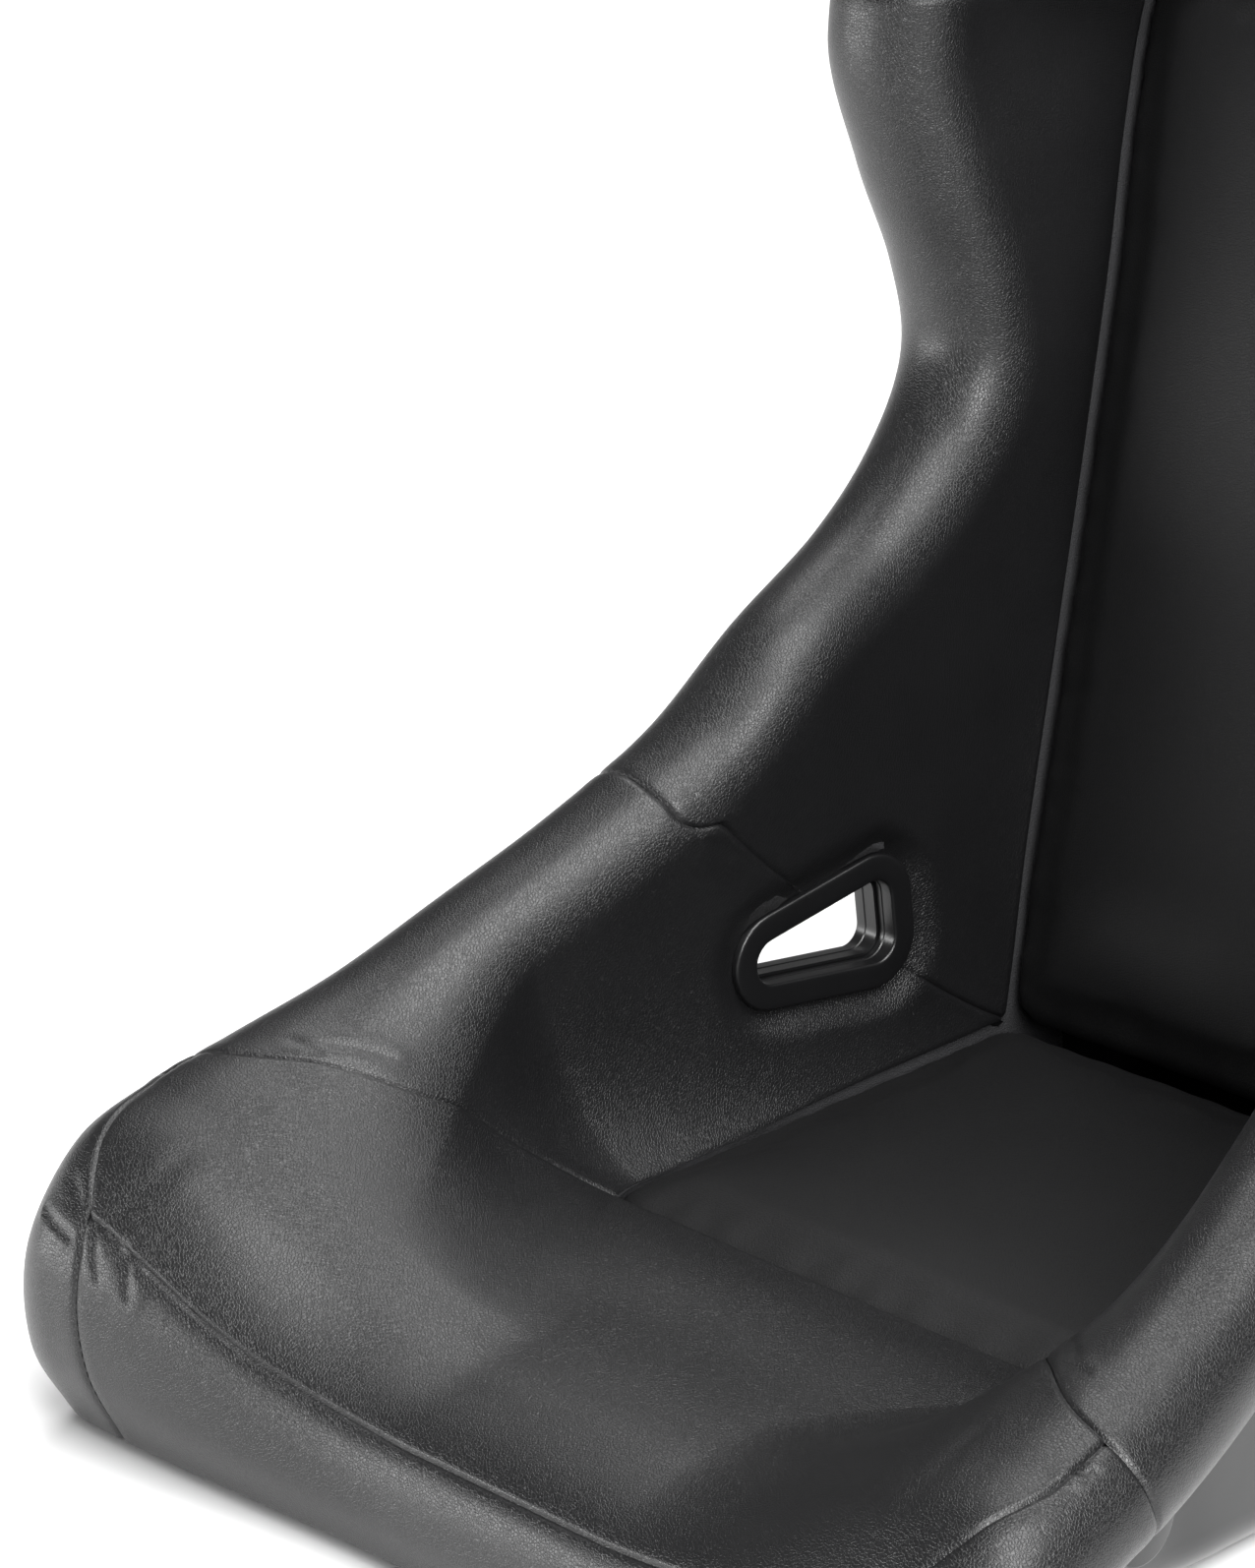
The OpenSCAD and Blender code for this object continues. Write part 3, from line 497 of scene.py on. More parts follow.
@dataclass(frozen=True)
class Finish:
    """A procedural material, with its pattern sizes in millimetres."""

    name: str
    colour: str
    shade: str
    roughness: float
    grain: Grain
    pitch: float
    relief: float
    metallic: float = 0.0
    ior: float = 1.5
    coat: float = 0.0
    coat_roughness: float = 0.12
    cloud: float = 40.0
    wear: float = 0.06

    def height(self, tree: bpy.types.NodeTree, place: bpy.types.NodeSocket) -> Any:
        """Build the height of the fine relief, from 0 to 1, and return its socket.

        Args:
            tree: node tree of the material.
            place: socket with Object coordinates.

        Returns:
            The socket that carries the height.
        """
        scale = 1 / (self.pitch * MM)
        if self.grain in (Grain.HIDE, Grain.CELLS):
            warp = add_node(tree, "ShaderNodeTexNoise", {
                "Vector": place, "Scale": scale * 0.6, "Detail": 2.0})
            shift = add_node(tree, "ShaderNodeVectorMath", {
                0: warp.outputs["Color"], "Scale": 0.45 * self.pitch * MM}, operation="SCALE")
            moved = add_node(tree, "ShaderNodeVectorMath", {0: place, 1: shift.outputs[0]},
                             operation="ADD")
            cells = add_node(tree, "ShaderNodeTexVoronoi", {
                "Vector": moved.outputs[0], "Scale": scale}, feature="DISTANCE_TO_EDGE")
            ramp = add_node(tree, "ShaderNodeMapRange", {
                "Value": cells.outputs["Distance"], "From Min": 0.02, "From Max": 0.2},
                interpolation_type="SMOOTHSTEP")
            fine = add_node(tree, "ShaderNodeTexNoise", {
                "Vector": place, "Scale": scale * 2.4, "Detail": 2.0})
            return add_node(tree, "ShaderNodeMath", {
                0: fine.outputs["Fac"], 1: 0.3, 2: ramp.outputs["Result"]},
                operation="MULTIPLY_ADD").outputs[0]
        if self.grain is Grain.HOOKS:
            dots = add_node(tree, "ShaderNodeTexVoronoi", {
                "Vector": place, "Scale": scale, "Randomness": 0.35})
            return add_node(tree, "ShaderNodeMapRange", {
                "Value": dots.outputs["Distance"], "From Min": 0.1, "From Max": 0.45,
                "To Min": 1.0, "To Max": 0.0}).outputs["Result"]
        detail = {Grain.SPARK: 3.0, Grain.PEEL: 0.0, Grain.FIBRE: 1.0}[self.grain]
        return add_node(tree, "ShaderNodeTexNoise", {
            "Vector": place, "Scale": scale, "Detail": detail}).outputs["Fac"]

    def build(self) -> bpy.types.Material:
        """Make the material once and return it.

        Returns:
            The material.
        """
        known = bpy.data.materials.get(self.name)
        if known:
            return known
        material = bpy.data.materials.new(self.name)
        material.use_nodes = True
        tree = material.node_tree
        tree.nodes.clear()
        place = add_node(tree, "ShaderNodeTexCoord").outputs["Object"]
        cloud = add_node(tree, "ShaderNodeTexNoise", {
            "Vector": place, "Scale": 1 / (self.cloud * MM), "Detail": 2.0})
        height = self.height(tree, place)
        tone = add_node(tree, "ShaderNodeMix", {
            "Factor": cloud.outputs["Fac"], "A": linear(self.colour), "B": linear(self.shade)},
            data_type="RGBA")
        worn = add_node(tree, "ShaderNodeMath", {
            0: cloud.outputs["Fac"], 1: self.wear, 2: self.roughness - self.wear / 2},
            operation="MULTIPLY_ADD")
        rough = add_node(tree, "ShaderNodeMath", {
            0: height, 1: -self.wear, 2: worn.outputs[0]}, operation="MULTIPLY_ADD",
            use_clamp=True)
        relief = add_node(tree, "ShaderNodeBump", {
            "Height": height, "Strength": 1.0, "Distance": self.relief * MM})
        surface = add_node(tree, "ShaderNodeBsdfPrincipled", {
            "Base Color": tone.outputs["Result"], "Roughness": rough.outputs[0],
            "Normal": relief.outputs["Normal"], "Metallic": self.metallic, "IOR": self.ior,
            "Coat Weight": self.coat, "Coat Roughness": self.coat_roughness})
        add_node(tree, "ShaderNodeOutputMaterial", {"Surface": surface.outputs["BSDF"]})
        return material


# PVC-coated cloth with a fine embossed hide grain: soft sheen that breaks up in the cells
VINYL = Finish("grained_pvc_vinyl", "#0f0f10", "#121213", 0.40, Grain.HIDE, 1.5, 0.10)
# The same vinyl on the cushions, with a drier print that makes it matt; its darker colour is
# painted shade, which keeps them the darkest part
SHADED_CUSHION_VINYL = Finish("matt_pvc_vinyl_painted_shade", "#070708", "#09090a", 0.62, Grain.HIDE, 1.5, 0.08,
                       ior=1.38)
# Injection-moulded ABS with a spark-eroded face: even, slightly satin black
ABS = Finish("moulded_abs", "#0d0d0e", "#111112", 0.36, Grain.SPARK, 0.9, 0.02)
# Glass-fibre laminate under black gelcoat: glossy, with a slow orange peel
GELCOAT = Finish("gelcoat_laminate", "#0b0b0c", "#0e0f10", 0.24, Grain.PEEL, 14, 0.10, coat=0.35)
# Zinc-plated steel plate: cool grey metal with a cloudy plating
ZINC_PLATE = Finish("zinc_plated_steel", "#a7abb0", "#8e9297", 0.42, Grain.SPARK, 0.7, 0.015,
                    metallic=1.0, cloud=16)
# Turned steel barrel, plated after turning: brighter, with a finer face
TURNED_STEEL = Finish("turned_plated_steel", "#c3c6ca", "#aeb2b6", 0.3, Grain.FIBRE, 0.35, 0.01,
                      metallic=1.0, cloud=9)
# Open-cell polyurethane foam: dull charcoal with cut cells
FOAM = Finish("polyurethane_foam", "#333335", "#29292b", 0.94, Grain.CELLS, 1.5, 0.35)
# Hook tape: woven nylon with rows of loops
HOOK_TAPE = Finish("nylon_hook_tape", "#1a1a1c", "#121213", 0.85, Grain.HOOKS, 1.6, 0.3)
# Bonded polyester thread: dark, with a slight gloss on the twist
THREAD = Finish("bonded_polyester_thread", "#0c0c0d", "#151516", 0.5, Grain.FIBRE, 0.4, 0.05)
# Extruded soft PVC edging: smooth, a little glossier than the cover
EDGING = Finish("extruded_pvc_edging", "#101011", "#141415", 0.4, Grain.SPARK, 2.5, 0.02)
# Matt white painted board
FLOOR = Finish("matt_white_board", "#f4f4f4", "#f0f0f0", 0.8, Grain.SPARK, 3.0, 0.01)


# ---- meshes

def quads(a: Array, b: Array, c: Array, d: Array) -> Array:
    """Stack four index arrays as faces."""
    return np.stack([a, b, c, d], -1).reshape(-1, 4)


def mesh_object(name: str, points: Array, faces: Sequence, finish: Finish,
                sharp: float = 50.0, merge: bool = True) -> bpy.types.Object:
    """Make a closed mesh object from points in millimetres, with its faces outwards.

    Args:
        name: name of the object.
        points: corner points.
        faces: corner numbers of each face.
        finish: finish of the outside.
        sharp: angle in degrees above which an edge stays sharp.
        merge: whether doubled points are merged.

    Returns:
        The object, at the origin.
    """
    mesh = bpy.data.meshes.new(name)
    mesh.from_pydata((points.reshape(-1, 3) * MM).tolist(), [], [list(f) for f in faces])
    mesh.materials.append(finish.build())
    tidy_mesh(mesh, merge)
    obj = bpy.data.objects.new(name, mesh)
    bpy.context.scene.collection.objects.link(obj)
    mesh.shade_smooth()
    mesh.set_sharp_from_angle(angle=math.radians(sharp))
    return obj


def tidy_mesh(mesh: bpy.types.Mesh, merge: bool) -> None:
    """Turn the faces outwards, and merge doubled points first where asked.

    Args:
        mesh: the mesh to mend.
        merge: whether doubled points are merged.
    """
    work = bmesh.new()
    work.from_mesh(mesh)
    if merge:
        bmesh.ops.remove_doubles(work, verts=work.verts, dist=2e-6)
        bmesh.ops.dissolve_degenerate(work, edges=work.edges, dist=1e-6)
    bmesh.ops.recalc_face_normals(work, faces=work.faces)
    if work.calc_volume(signed=True) < 0:
        bmesh.ops.reverse_faces(work, faces=work.faces)
    work.to_mesh(mesh)
    work.free()


def slab(outer: Array, inner: Array) -> tuple[Array, Array]:
    """Join two grids of points into one closed solid.

    Args:
        outer: grid of points of the outer face.
        inner: grid of the same size for the inner face.

    Returns:
        Points and faces.
    """
    m, n = outer.shape[:2]
    top = np.arange(m * n).reshape(m, n)
    low = top + m * n
    faces = [quads(top[:-1, :-1], top[:-1, 1:], top[1:, 1:], top[1:, :-1])]
    for a, b in ((low[0], top[0]), (top[-1], low[-1]), (top[:, 0], low[:, 0]),
                 (low[:, -1], top[:, -1])):
        faces.append(quads(a[:-1], a[1:], b[1:], b[:-1]))
    faces.append(quads(low[:-1, :-1], low[1:, :-1], low[1:, 1:], low[:-1, 1:]))
    return np.concatenate([outer.reshape(-1, 3), inner.reshape(-1, 3)]), np.concatenate(faces)


def ring_faces(rows: int, count: int, closed: bool) -> Array:
    """Faces of stacked rings, whose last ring may join the first.

    Args:
        rows: number of rings.
        count: number of points in each ring.
        closed: whether the last ring joins the first.

    Returns:
        Corner numbers of each face.
    """
    grid = np.arange(rows * count).reshape(rows, count)
    if closed:
        grid = np.concatenate([grid, grid[:1]])
    grid = np.concatenate([grid, grid[:, :1]], axis=1)
    return quads(grid[:-1, :-1], grid[:-1, 1:], grid[1:, 1:], grid[1:, :-1])


def capped_faces(rows: int, count: int) -> list[list[int]]:
    """Faces of stacked rings whose first and last ring are closed by a cap.

    Args:
        rows: number of rings.
        count: number of points in each ring.

    Returns:
        Corner numbers of each face.
    """
    faces = [list(f) for f in ring_faces(rows, count, False)]
    return faces + [list(range(count)), [(rows - 1) * count + i for i in range(count)]]


def normals_of(grid: Array) -> Array:
    """Outward unit normals of a grid whose rows are stations and columns are indices.

    Args:
        grid: grid of points.

    Returns:
        One unit normal for each point.
    """
    along = np.gradient(grid, axis=0)
    over = np.gradient(grid, axis=1)
    n = np.cross(over, along)
    return n / np.maximum(np.linalg.norm(n, axis=-1, keepdims=True), 1e-9)


def run_of(grid: Array, axis: int) -> tuple[Array, Array]:
    """Distance along the surface from the first and from the last line across an axis.

    Args:
        grid: grid of points.
        axis: the axis to measure along.

    Returns:
        Distances from the first line and from the last.
    """
    step = np.linalg.norm(np.diff(grid, axis=axis), axis=-1)
    zero = np.zeros_like(step.take([0], axis=axis))
    run = np.cumsum(np.concatenate([zero, step], axis=axis), axis=axis)
    return run, run.take([-1], axis=axis) - run


def mirrored(obj: bpy.types.Object, name: str) -> bpy.types.Object:
    """Copy an object to the other side of the centre plane.

    Args:
        obj: the object to copy.
        name: name of the copy.

    Returns:
        The copy.
    """
    mesh = obj.data.copy()
    mesh.name = name
    work = bmesh.new()
    work.from_mesh(mesh)
    for vert in work.verts:
        vert.co.x = -vert.co.x
    bmesh.ops.reverse_faces(work, faces=work.faces)
    work.to_mesh(mesh)
    work.free()
    copy = bpy.data.objects.new(name, mesh)
    bpy.context.scene.collection.objects.link(copy)
    return copy


def cut(obj: bpy.types.Object, cutters: Sequence[bpy.types.Object]) -> None:
    """Cut shapes out of an object and leave it a plain mesh.

    Args:
        obj: the object to cut.
        cutters: closed bodies that are taken away from it.
    """
    for cutter in cutters:
        tool = obj.modifiers.new("cut", "BOOLEAN")
        tool.operation = "DIFFERENCE"
        tool.solver = "MANIFOLD"
        tool.object = cutter
        bake(obj)


def bake(obj: bpy.types.Object) -> None:
    """Apply every modifier of an object.

    Args:
        obj: the object, which keeps a plain mesh.
    """
    graph = bpy.context.evaluated_depsgraph_get()
    graph.update()
    mesh = bpy.data.meshes.new_from_object(obj.evaluated_get(graph), depsgraph=graph)
    old = obj.data
    obj.modifiers.clear()
    obj.data = mesh
    mesh.name = obj.name
    bpy.data.meshes.remove(old)


def drop(objects: Sequence[bpy.types.Object]) -> None:
    """Remove helper objects.

    Args:
        objects: the helpers to remove.
    """
    for obj in objects:
        mesh = obj.data
        bpy.data.objects.remove(obj)
        bpy.data.meshes.remove(mesh)


def register(obj: bpy.types.Object, nodes: Sequence[str] = ()) -> bpy.types.Object:
    """Tie a finished piece to the seat's body and to the CAD nodes it stands for.

    Args:
        obj: the finished piece.
        nodes: names of the CAD nodes that it replaces.

    Returns:
        The same object.
    """
    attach(obj, BODY)
    if nodes:
        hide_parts(*nodes)
    log.info("%s: %d faces, stands for %s", obj.name, len(obj.data.polygons),
             ", ".join(nodes) or "no node")
    return obj


def register_pair(obj: bpy.types.Object, name: str, node: str) -> None:
    """Mirror a finished left piece and register both sides.

    Args:
        obj: the piece on the sitter's left.
        name: name of the pair, which gets the side added.
        node: name of the CAD nodes that they stand for, without the side.
    """
    other = mirrored(obj, name + "_right")
    obj.name = obj.data.name = name + "_left"
    register(obj, [node + "_left"])
    register(other, [node + "_right"])


# ---- belt slots

@dataclass(frozen=True)
class SlotFrame:
    """Place and outline of a belt slot."""

    origin: Array
    axes: Array
    corners: tuple[tuple[float, float], ...]
    radius: float
    arc: int = 14
    seat: float = 0.0
    flange: float = 13.5
    margin: float = 0.4
    blend: float = 15.0
    reach: float = 18.0

    def outline(self, grow: float) -> Array:
        """Rounded outline grown by a distance.

        Args:
            grow: distance out from the slot itself.

        Returns:
            Outline points in the slot's own plane.
        """
        c = np.asarray(self.corners, float)
        out = []
        for k in range(len(c)):
            u, v = c[k] - c[k - 1], c[(k + 1) % len(c)] - c[k]
            start = math.atan2(-u[0], u[1])
            turn = (math.atan2(-v[0], v[1]) - start) % (2 * math.pi)
            for j in range(self.arc + 1):
                a = start + turn * j / self.arc
                out.append(c[k] + (self.radius + grow) * np.array([math.cos(a), math.sin(a)]))
            last, nxt = out[-1], c[(k + 1) % len(c)] + (self.radius + grow) * np.array(
                [math.cos(start + turn), math.sin(start + turn)])
            out += [last + (nxt - last) * j / 8 for j in range(1, 8)]
        return np.array(out)

    def pressed(self, points: Array, below: float = 0.0) -> Array:
        """Press a face flat under the flange, on both sides of the seat.

        Args:
            points: points of the face.
            below: how far the face lies under the cover's own.

        Returns:
            The pressed points, which run smoothly into the rest.
        """
        side = np.where(points[..., :1] < 0, MIRROR, 1.0)
        local = (points * side - self.origin) @ self.axes
        hold = 1 - smooth((self.gap(local) - self.flange - self.margin) / self.blend)
        # a face further away belongs to the other side of the bolster
        hold = hold * (np.abs(local[..., 2] - 2) < self.reach)
        local[..., 2] += (self.seat + below - local[..., 2]) * hold
        return (self.origin + local @ self.axes.T) * side

    def gap(self, local: Array) -> Array:
        """Distance of local points from the outline, below zero inside it.

        Args:
            local: points on the slot's own axes.

        Returns:
            Distances in millimetres.
        """
        c = np.asarray(self.corners, float)
        gap = np.full(local.shape[:-1], FAR)
        inside = np.ones(local.shape[:-1], bool)
        for a, b in zip(c, np.roll(c, -1, axis=0)):
            q = local[..., :2] - a
            along = np.clip(q @ (b - a) / ((b - a) @ (b - a)), 0, 1)
            gap = np.minimum(gap, np.linalg.norm(q - along[..., None] * (b - a), axis=-1))
            inside &= (b - a)[0] * q[..., 1] - (b - a)[1] * q[..., 0] > 0
        return np.where(inside, -gap, gap) - self.radius

    def covers(self, points: Array) -> Array:
        """Whether points on the sitter's left lie under the flange or in the slot."""
        return self.gap((points - self.origin) @ self.axes) < self.flange - 1

    def place(self, ring: Array, depth: float) -> Array:
        """Put outline points at a depth through the seat; depth grows outwards."""
        local = np.column_stack([ring, np.full(len(ring), depth)])
        return self.origin + local @ self.axes.T

    def rings(self, profile: Sequence[tuple[float, float]]) -> Array:
        """One ring for each (grow, depth) of a profile."""
        return np.array([self.place(self.outline(g), d) for g, d in profile])

    def band(self, name: str, profile: Sequence[tuple[float, float]],
             finish: Finish) -> bpy.types.Object:
        """Closed band whose profile runs round the slot.

        Args:
            name: name of the object.
            profile: section as pairs of distance out and depth.
            finish: finish of the band.

        Returns:
            The band.
        """
        rings = self.rings(profile)
        faces = ring_faces(len(rings), rings.shape[1], True)
        return mesh_object(name, rings, faces, finish, sharp=38)

    def plug(self, name: str, profile: Sequence[tuple[float, float]],
             finish: Finish) -> bpy.types.Object:
        """Solid plug in the outline, closed at both ends.

        Args:
            name: name of the object.
            profile: distance out and depth of each ring.
            finish: finish of the plug.

        Returns:
            The plug.
        """
        rings = self.rings(profile)
        faces = capped_faces(*rings.shape[:2])
        return mesh_object(name, rings, faces, finish)


# ---- sewn cover

Bound = Callable[[Array], Array]


def always(value: float) -> Bound:
    """Bound that is the same everywhere."""
    return lambda at: np.full(np.shape(at), float(value))


@dataclass(frozen=True)
class Fold:
    """A crease in the stretched cover: a groove along a path with a soft ridge beside it."""

    path: tuple[tuple[float, float, float], ...]
    groove: float
    ridge: float
    width: float

    def height(self, points: Array) -> Array:
        """Height that the fold adds at points; the two sides of the seat are alike.

        Args:
            points: points of the cover.

        Returns:
            Heights in millimetres.
        """
        q = points.copy()
        q[..., 0] = np.abs(q[..., 0])
        gap = np.full(q.shape[:-1], FAR)
        for a, b in zip(self.path, self.path[1:]):
            a, b = np.array(a, float), np.array(b, float)
            along = np.clip(((q - a) @ (b - a)) / ((b - a) @ (b - a)), 0, 1)
            near = np.linalg.norm(q - a - along[..., None] * (b - a), axis=-1)
            gap = np.minimum(gap, near + 1.8 * (2 * np.abs(along - 0.5)) ** 8)
        return (self.ridge * bump(gap, 2.4 * self.width, 1.7 * self.width)
                - self.groove * bump(gap, 0, self.width))


FOLDS = (
    Fold(((232, -359, 121), (228, -352, 129), (223, -341, 137), (220, -317, 149),
          (219, -299, 153), (217, -282, 157)), 0.3, 0.3, 4.2),
    Fold(((222, -360, 117), (217, -358, 116), (212, -355, 118)), 0.7, 0.3, 1.6),
    Fold(((218, -361, 113), (213, -365, 104), (210, -368, 94)), 0.8, 0.45, 2.4),
    Fold(((238, -361, 120), (233, -367, 110), (227, -370, 98)), 0.75, 0.4, 2.3),
    Fold(((273, -363, 117), (258, -367, 115), (247, -368, 112)), 1.4, 0.4, 1.6),
    Fold(((261, -354, 132), (250, -361, 124)), 0.7, 0.4, 3.2),
    Fold(((227, -237, 174), (215, -225, 171), (203, -212, 166)), 0.6, 0.4, 2.2),
    Fold(((239, -245, 175), (221, -239, 170)), 0.45, 0.3, 2.0),
    Fold(((276, -285, 160), (271, -290, 160)), 1.3, 0.4, 2.6),
    Fold(((178, -30, 228), (175, -17, 221), (174, -7, 211)), 0.6, 0.4, 2.2),
)


@dataclass(frozen=True)
class Panel:
    """One sewn panel of the cover, between two seams along the seat and two across it.

    Its turn gives how deep the panel is folded in at its first, last, inner and outer edge.
    """

    name: str
    nodes: tuple[str, ...]
    start: Bound
    end: Bound
    low: Bound
    high: Bound
    rows: int
    columns: int
    span: bool
    turn: tuple[float, float, float, float]
    middle: float = 0.36
    groove: float = 1.4
    groove_width: float = 1.35
    stuffing: float = 0.22
    stuffing_at: float = 7.0
    stuffing_width: float = 5.0
    pucker: float = 0.03
    unevenness: float = 0.3
    hem_from: float = 9.0
    steps: tuple[float, ...] = (1.0, 0.6, 0.25, 0.08)

    def stations(self) -> tuple[Array, Array, Array]:
        """Station, contour index and sideways share of every grid point.

        Returns:
            Three grids of the same size.
        """
        u = graded(self.rows)[:, None] + np.zeros((1, self.columns))
        if self.span:
            c = np.linspace(-1, 1, self.columns)[None, :] + np.zeros((self.rows, 1))
            part = np.clip((np.abs(c) - self.middle) / (1 - self.middle), 0, 1)
            across = np.clip(c / self.middle, -1, 1)
        else:
            c = graded(self.columns, 1.0)[None, :] + np.zeros((self.rows, 1))
            part, across = c, np.ones_like(c)
        t = 4 * u
        for _ in range(12):
            index = self.low(t) + (self.high(t) - self.low(t)) * part
            t = self.start(index) + (self.end(index) - self.start(index)) * u
        return t, index, across

    def grid(self) -> Array:
        """Smooth outer face before relief.

        Returns:
            Grid of points.
        """
        t, index, across = self.stations()
        points = FORM.trim(t, index)
        points[..., 0] *= across
        return points

    def relief(self, points: Array) -> Array:
        """Height in millimetres that seams, stuffing and creases add to the face.

        Args:
            points: grid of points of the smooth face.

        Returns:
            Height of each point.
        """
        near, far = run_of(points, 0)
        left, right = run_of(points, 1)
        edges = [(near, left, self.turn[0]), (far, left, self.turn[1]),
                 (left, near, self.turn[2]), (right, near, self.turn[3])]
        height = np.zeros(points.shape[:2])
        for k, (gap, along, depth) in enumerate(edges):
            if depth <= 0:
                continue
            # an edge that hangs deep down is a hem, which pulls less than a seam
            sewn = depth < self.hem_from
            pull = 1.0 if sewn else 0.5
            height -= self.groove * pull * np.exp(-(gap / self.groove_width) ** 2)
            height += self.stuffing * sewn * bump(gap, self.stuffing_at, self.stuffing_width)
            # short waves of uneven length and height, which fade away from the seam
            wave = (np.sin(along / 4.1 + 1.7 * np.sin(along / 23 + k))
                    * (0.55 + 0.45 * np.sin(along / 31 + 2 * k)))
            near_seam = np.exp(-gap / 8) * (1 - np.exp(-(gap / 2) ** 2))
            height += self.pucker * pull * wave * near_seam
        return height + self.creases(points)

    def creases(self, points: Array) -> Array:
        """Slow unevenness of the stuffing, with the folds of the stretched cover.

        Args:
            points: points of the face.

        Returns:
            Height of each point.
        """
        x, y, z = np.abs(points[..., 0]), points[..., 1], points[..., 2]
        slow = (self.unevenness * np.sin(x / 37 + 1.3 * np.sin(z / 61))
                * np.sin(y / 43 + z / 52))
        return slow + sum(fold.height(points) for fold in FOLDS)

    def build(self, beds: Sequence[SlotFrame]) -> bpy.types.Object:
        """Make the panel as a closed sheet with its edges folded in.

        Args:
            beds: belt slots whose flanges press the cover flat.

        Returns:
            The panel's object.
        """
        points = self.grid()
        points = points + normals_of(points) * self.relief(points)[..., None]
        for bed in beds:
            points = bed.pressed(points)
        normal = normals_of(points)
        start, end, inner, outer = self.turn
        rows = [points]
        if start:
            rows.insert(0, np.array([points[0] - normal[0] * d * start for d in self.steps]))
        if end:
            rows.append(np.array([points[-1] - normal[-1] * d * end for d in self.steps[::-1]]))
        deep = np.concatenate(rows)
        # the folded rows keep the direction of the row they hang from
        pad = (len(self.steps) if start else 0, len(self.steps) if end else 0)
        lean = np.pad(normal, (pad, (0, 0), (0, 0)), mode="edge")
        sides = [deep]
        if inner:
            sides.insert(0, np.stack([deep[:, 0] - lean[:, 0] * d * inner
                                      for d in self.steps], 1))
        if outer:
            sides.append(np.stack([deep[:, -1] - lean[:, -1] * d * outer
                                   for d in self.steps[::-1]], 1))
        face = np.concatenate(sides, axis=1)
        back = face - normals_of(face) * FORM.cover
        solid, faces = slab(face, back)
        return mesh_object(self.name, solid, faces, VINYL, merge=False)


@dataclass(frozen=True)
class Cover:
    """The sewn vinyl cover over the bolsters, the front roll and the head."""

    seam_fold: float = 6.0
    end_fold: float = 3.0
    hem: float = 14.0
    crease_angle: float = 50.0

    def panels(self) -> list[Panel]:
        """The panels of the middle and of the sitter's left side.

        Returns:
            The panels in the order in which they are built.
        """
        neck, edge = always(FORM.neck_seam), always(FORM.edge)
        seam, end, hem = self.seam_fold, self.end_fold, self.hem
        return [
            Panel("front_panel_lower_vinyl", ("front_panel_lower",), always(0), FORM.front_seam,
                  always(0), FORM.side_seam, 50, 300, True, (end, seam, seam, seam)),
            Panel("front_panel_upper_vinyl", ("front_panel_upper",), FORM.front_seam,
                  FORM.crest_seam, always(0), FORM.side_seam, 90, 300, True,
                  (seam, hem, seam, seam)),
            Panel("side_panel_vinyl", ("side_panel",), always(0), FORM.crest_seam,
                  FORM.side_seam, edge, 130, 60, False, (end, seam, seam, 0)),
            Panel("thigh_cover_vinyl", ("thigh_cover",), FORM.crest_seam, FORM.mid_seam,
                  always(0), edge, 110, 130, False, (seam, seam, hem, 0)),
            Panel("torso_cover_vinyl", ("torso_cover",), FORM.mid_seam, neck, always(0), edge,
                  170, 120, False, (seam, seam, hem, 0)),
            Panel("head_cover_vinyl", ("head_cover",), neck, always(FORM.last), always(0),
                  edge, 160, 240, True, (seam, end, 0, 0)),
        ]

    def build(self, slots: "BeltSlots") -> None:
        """Build every panel, cut the belt slots and mirror the side panels.

        Args:
            slots: the belt slots that pass through the cover.
        """
        for panel in self.panels():
            slotted = panel.name.startswith(("thigh", "torso", "head"))
            obj = panel.build([slots.lap(), slots.shoulder()] if slotted else [])
            if slotted:
                cut(obj, slots.cover_cutters(panel.name.startswith("head")))
                obj.data.set_sharp_from_angle(angle=math.radians(self.crease_angle))
            if panel.span:
                register(obj, panel.nodes)
            else:
                register_pair(obj, panel.name, panel.nodes[0])


# ---- foam under the cover

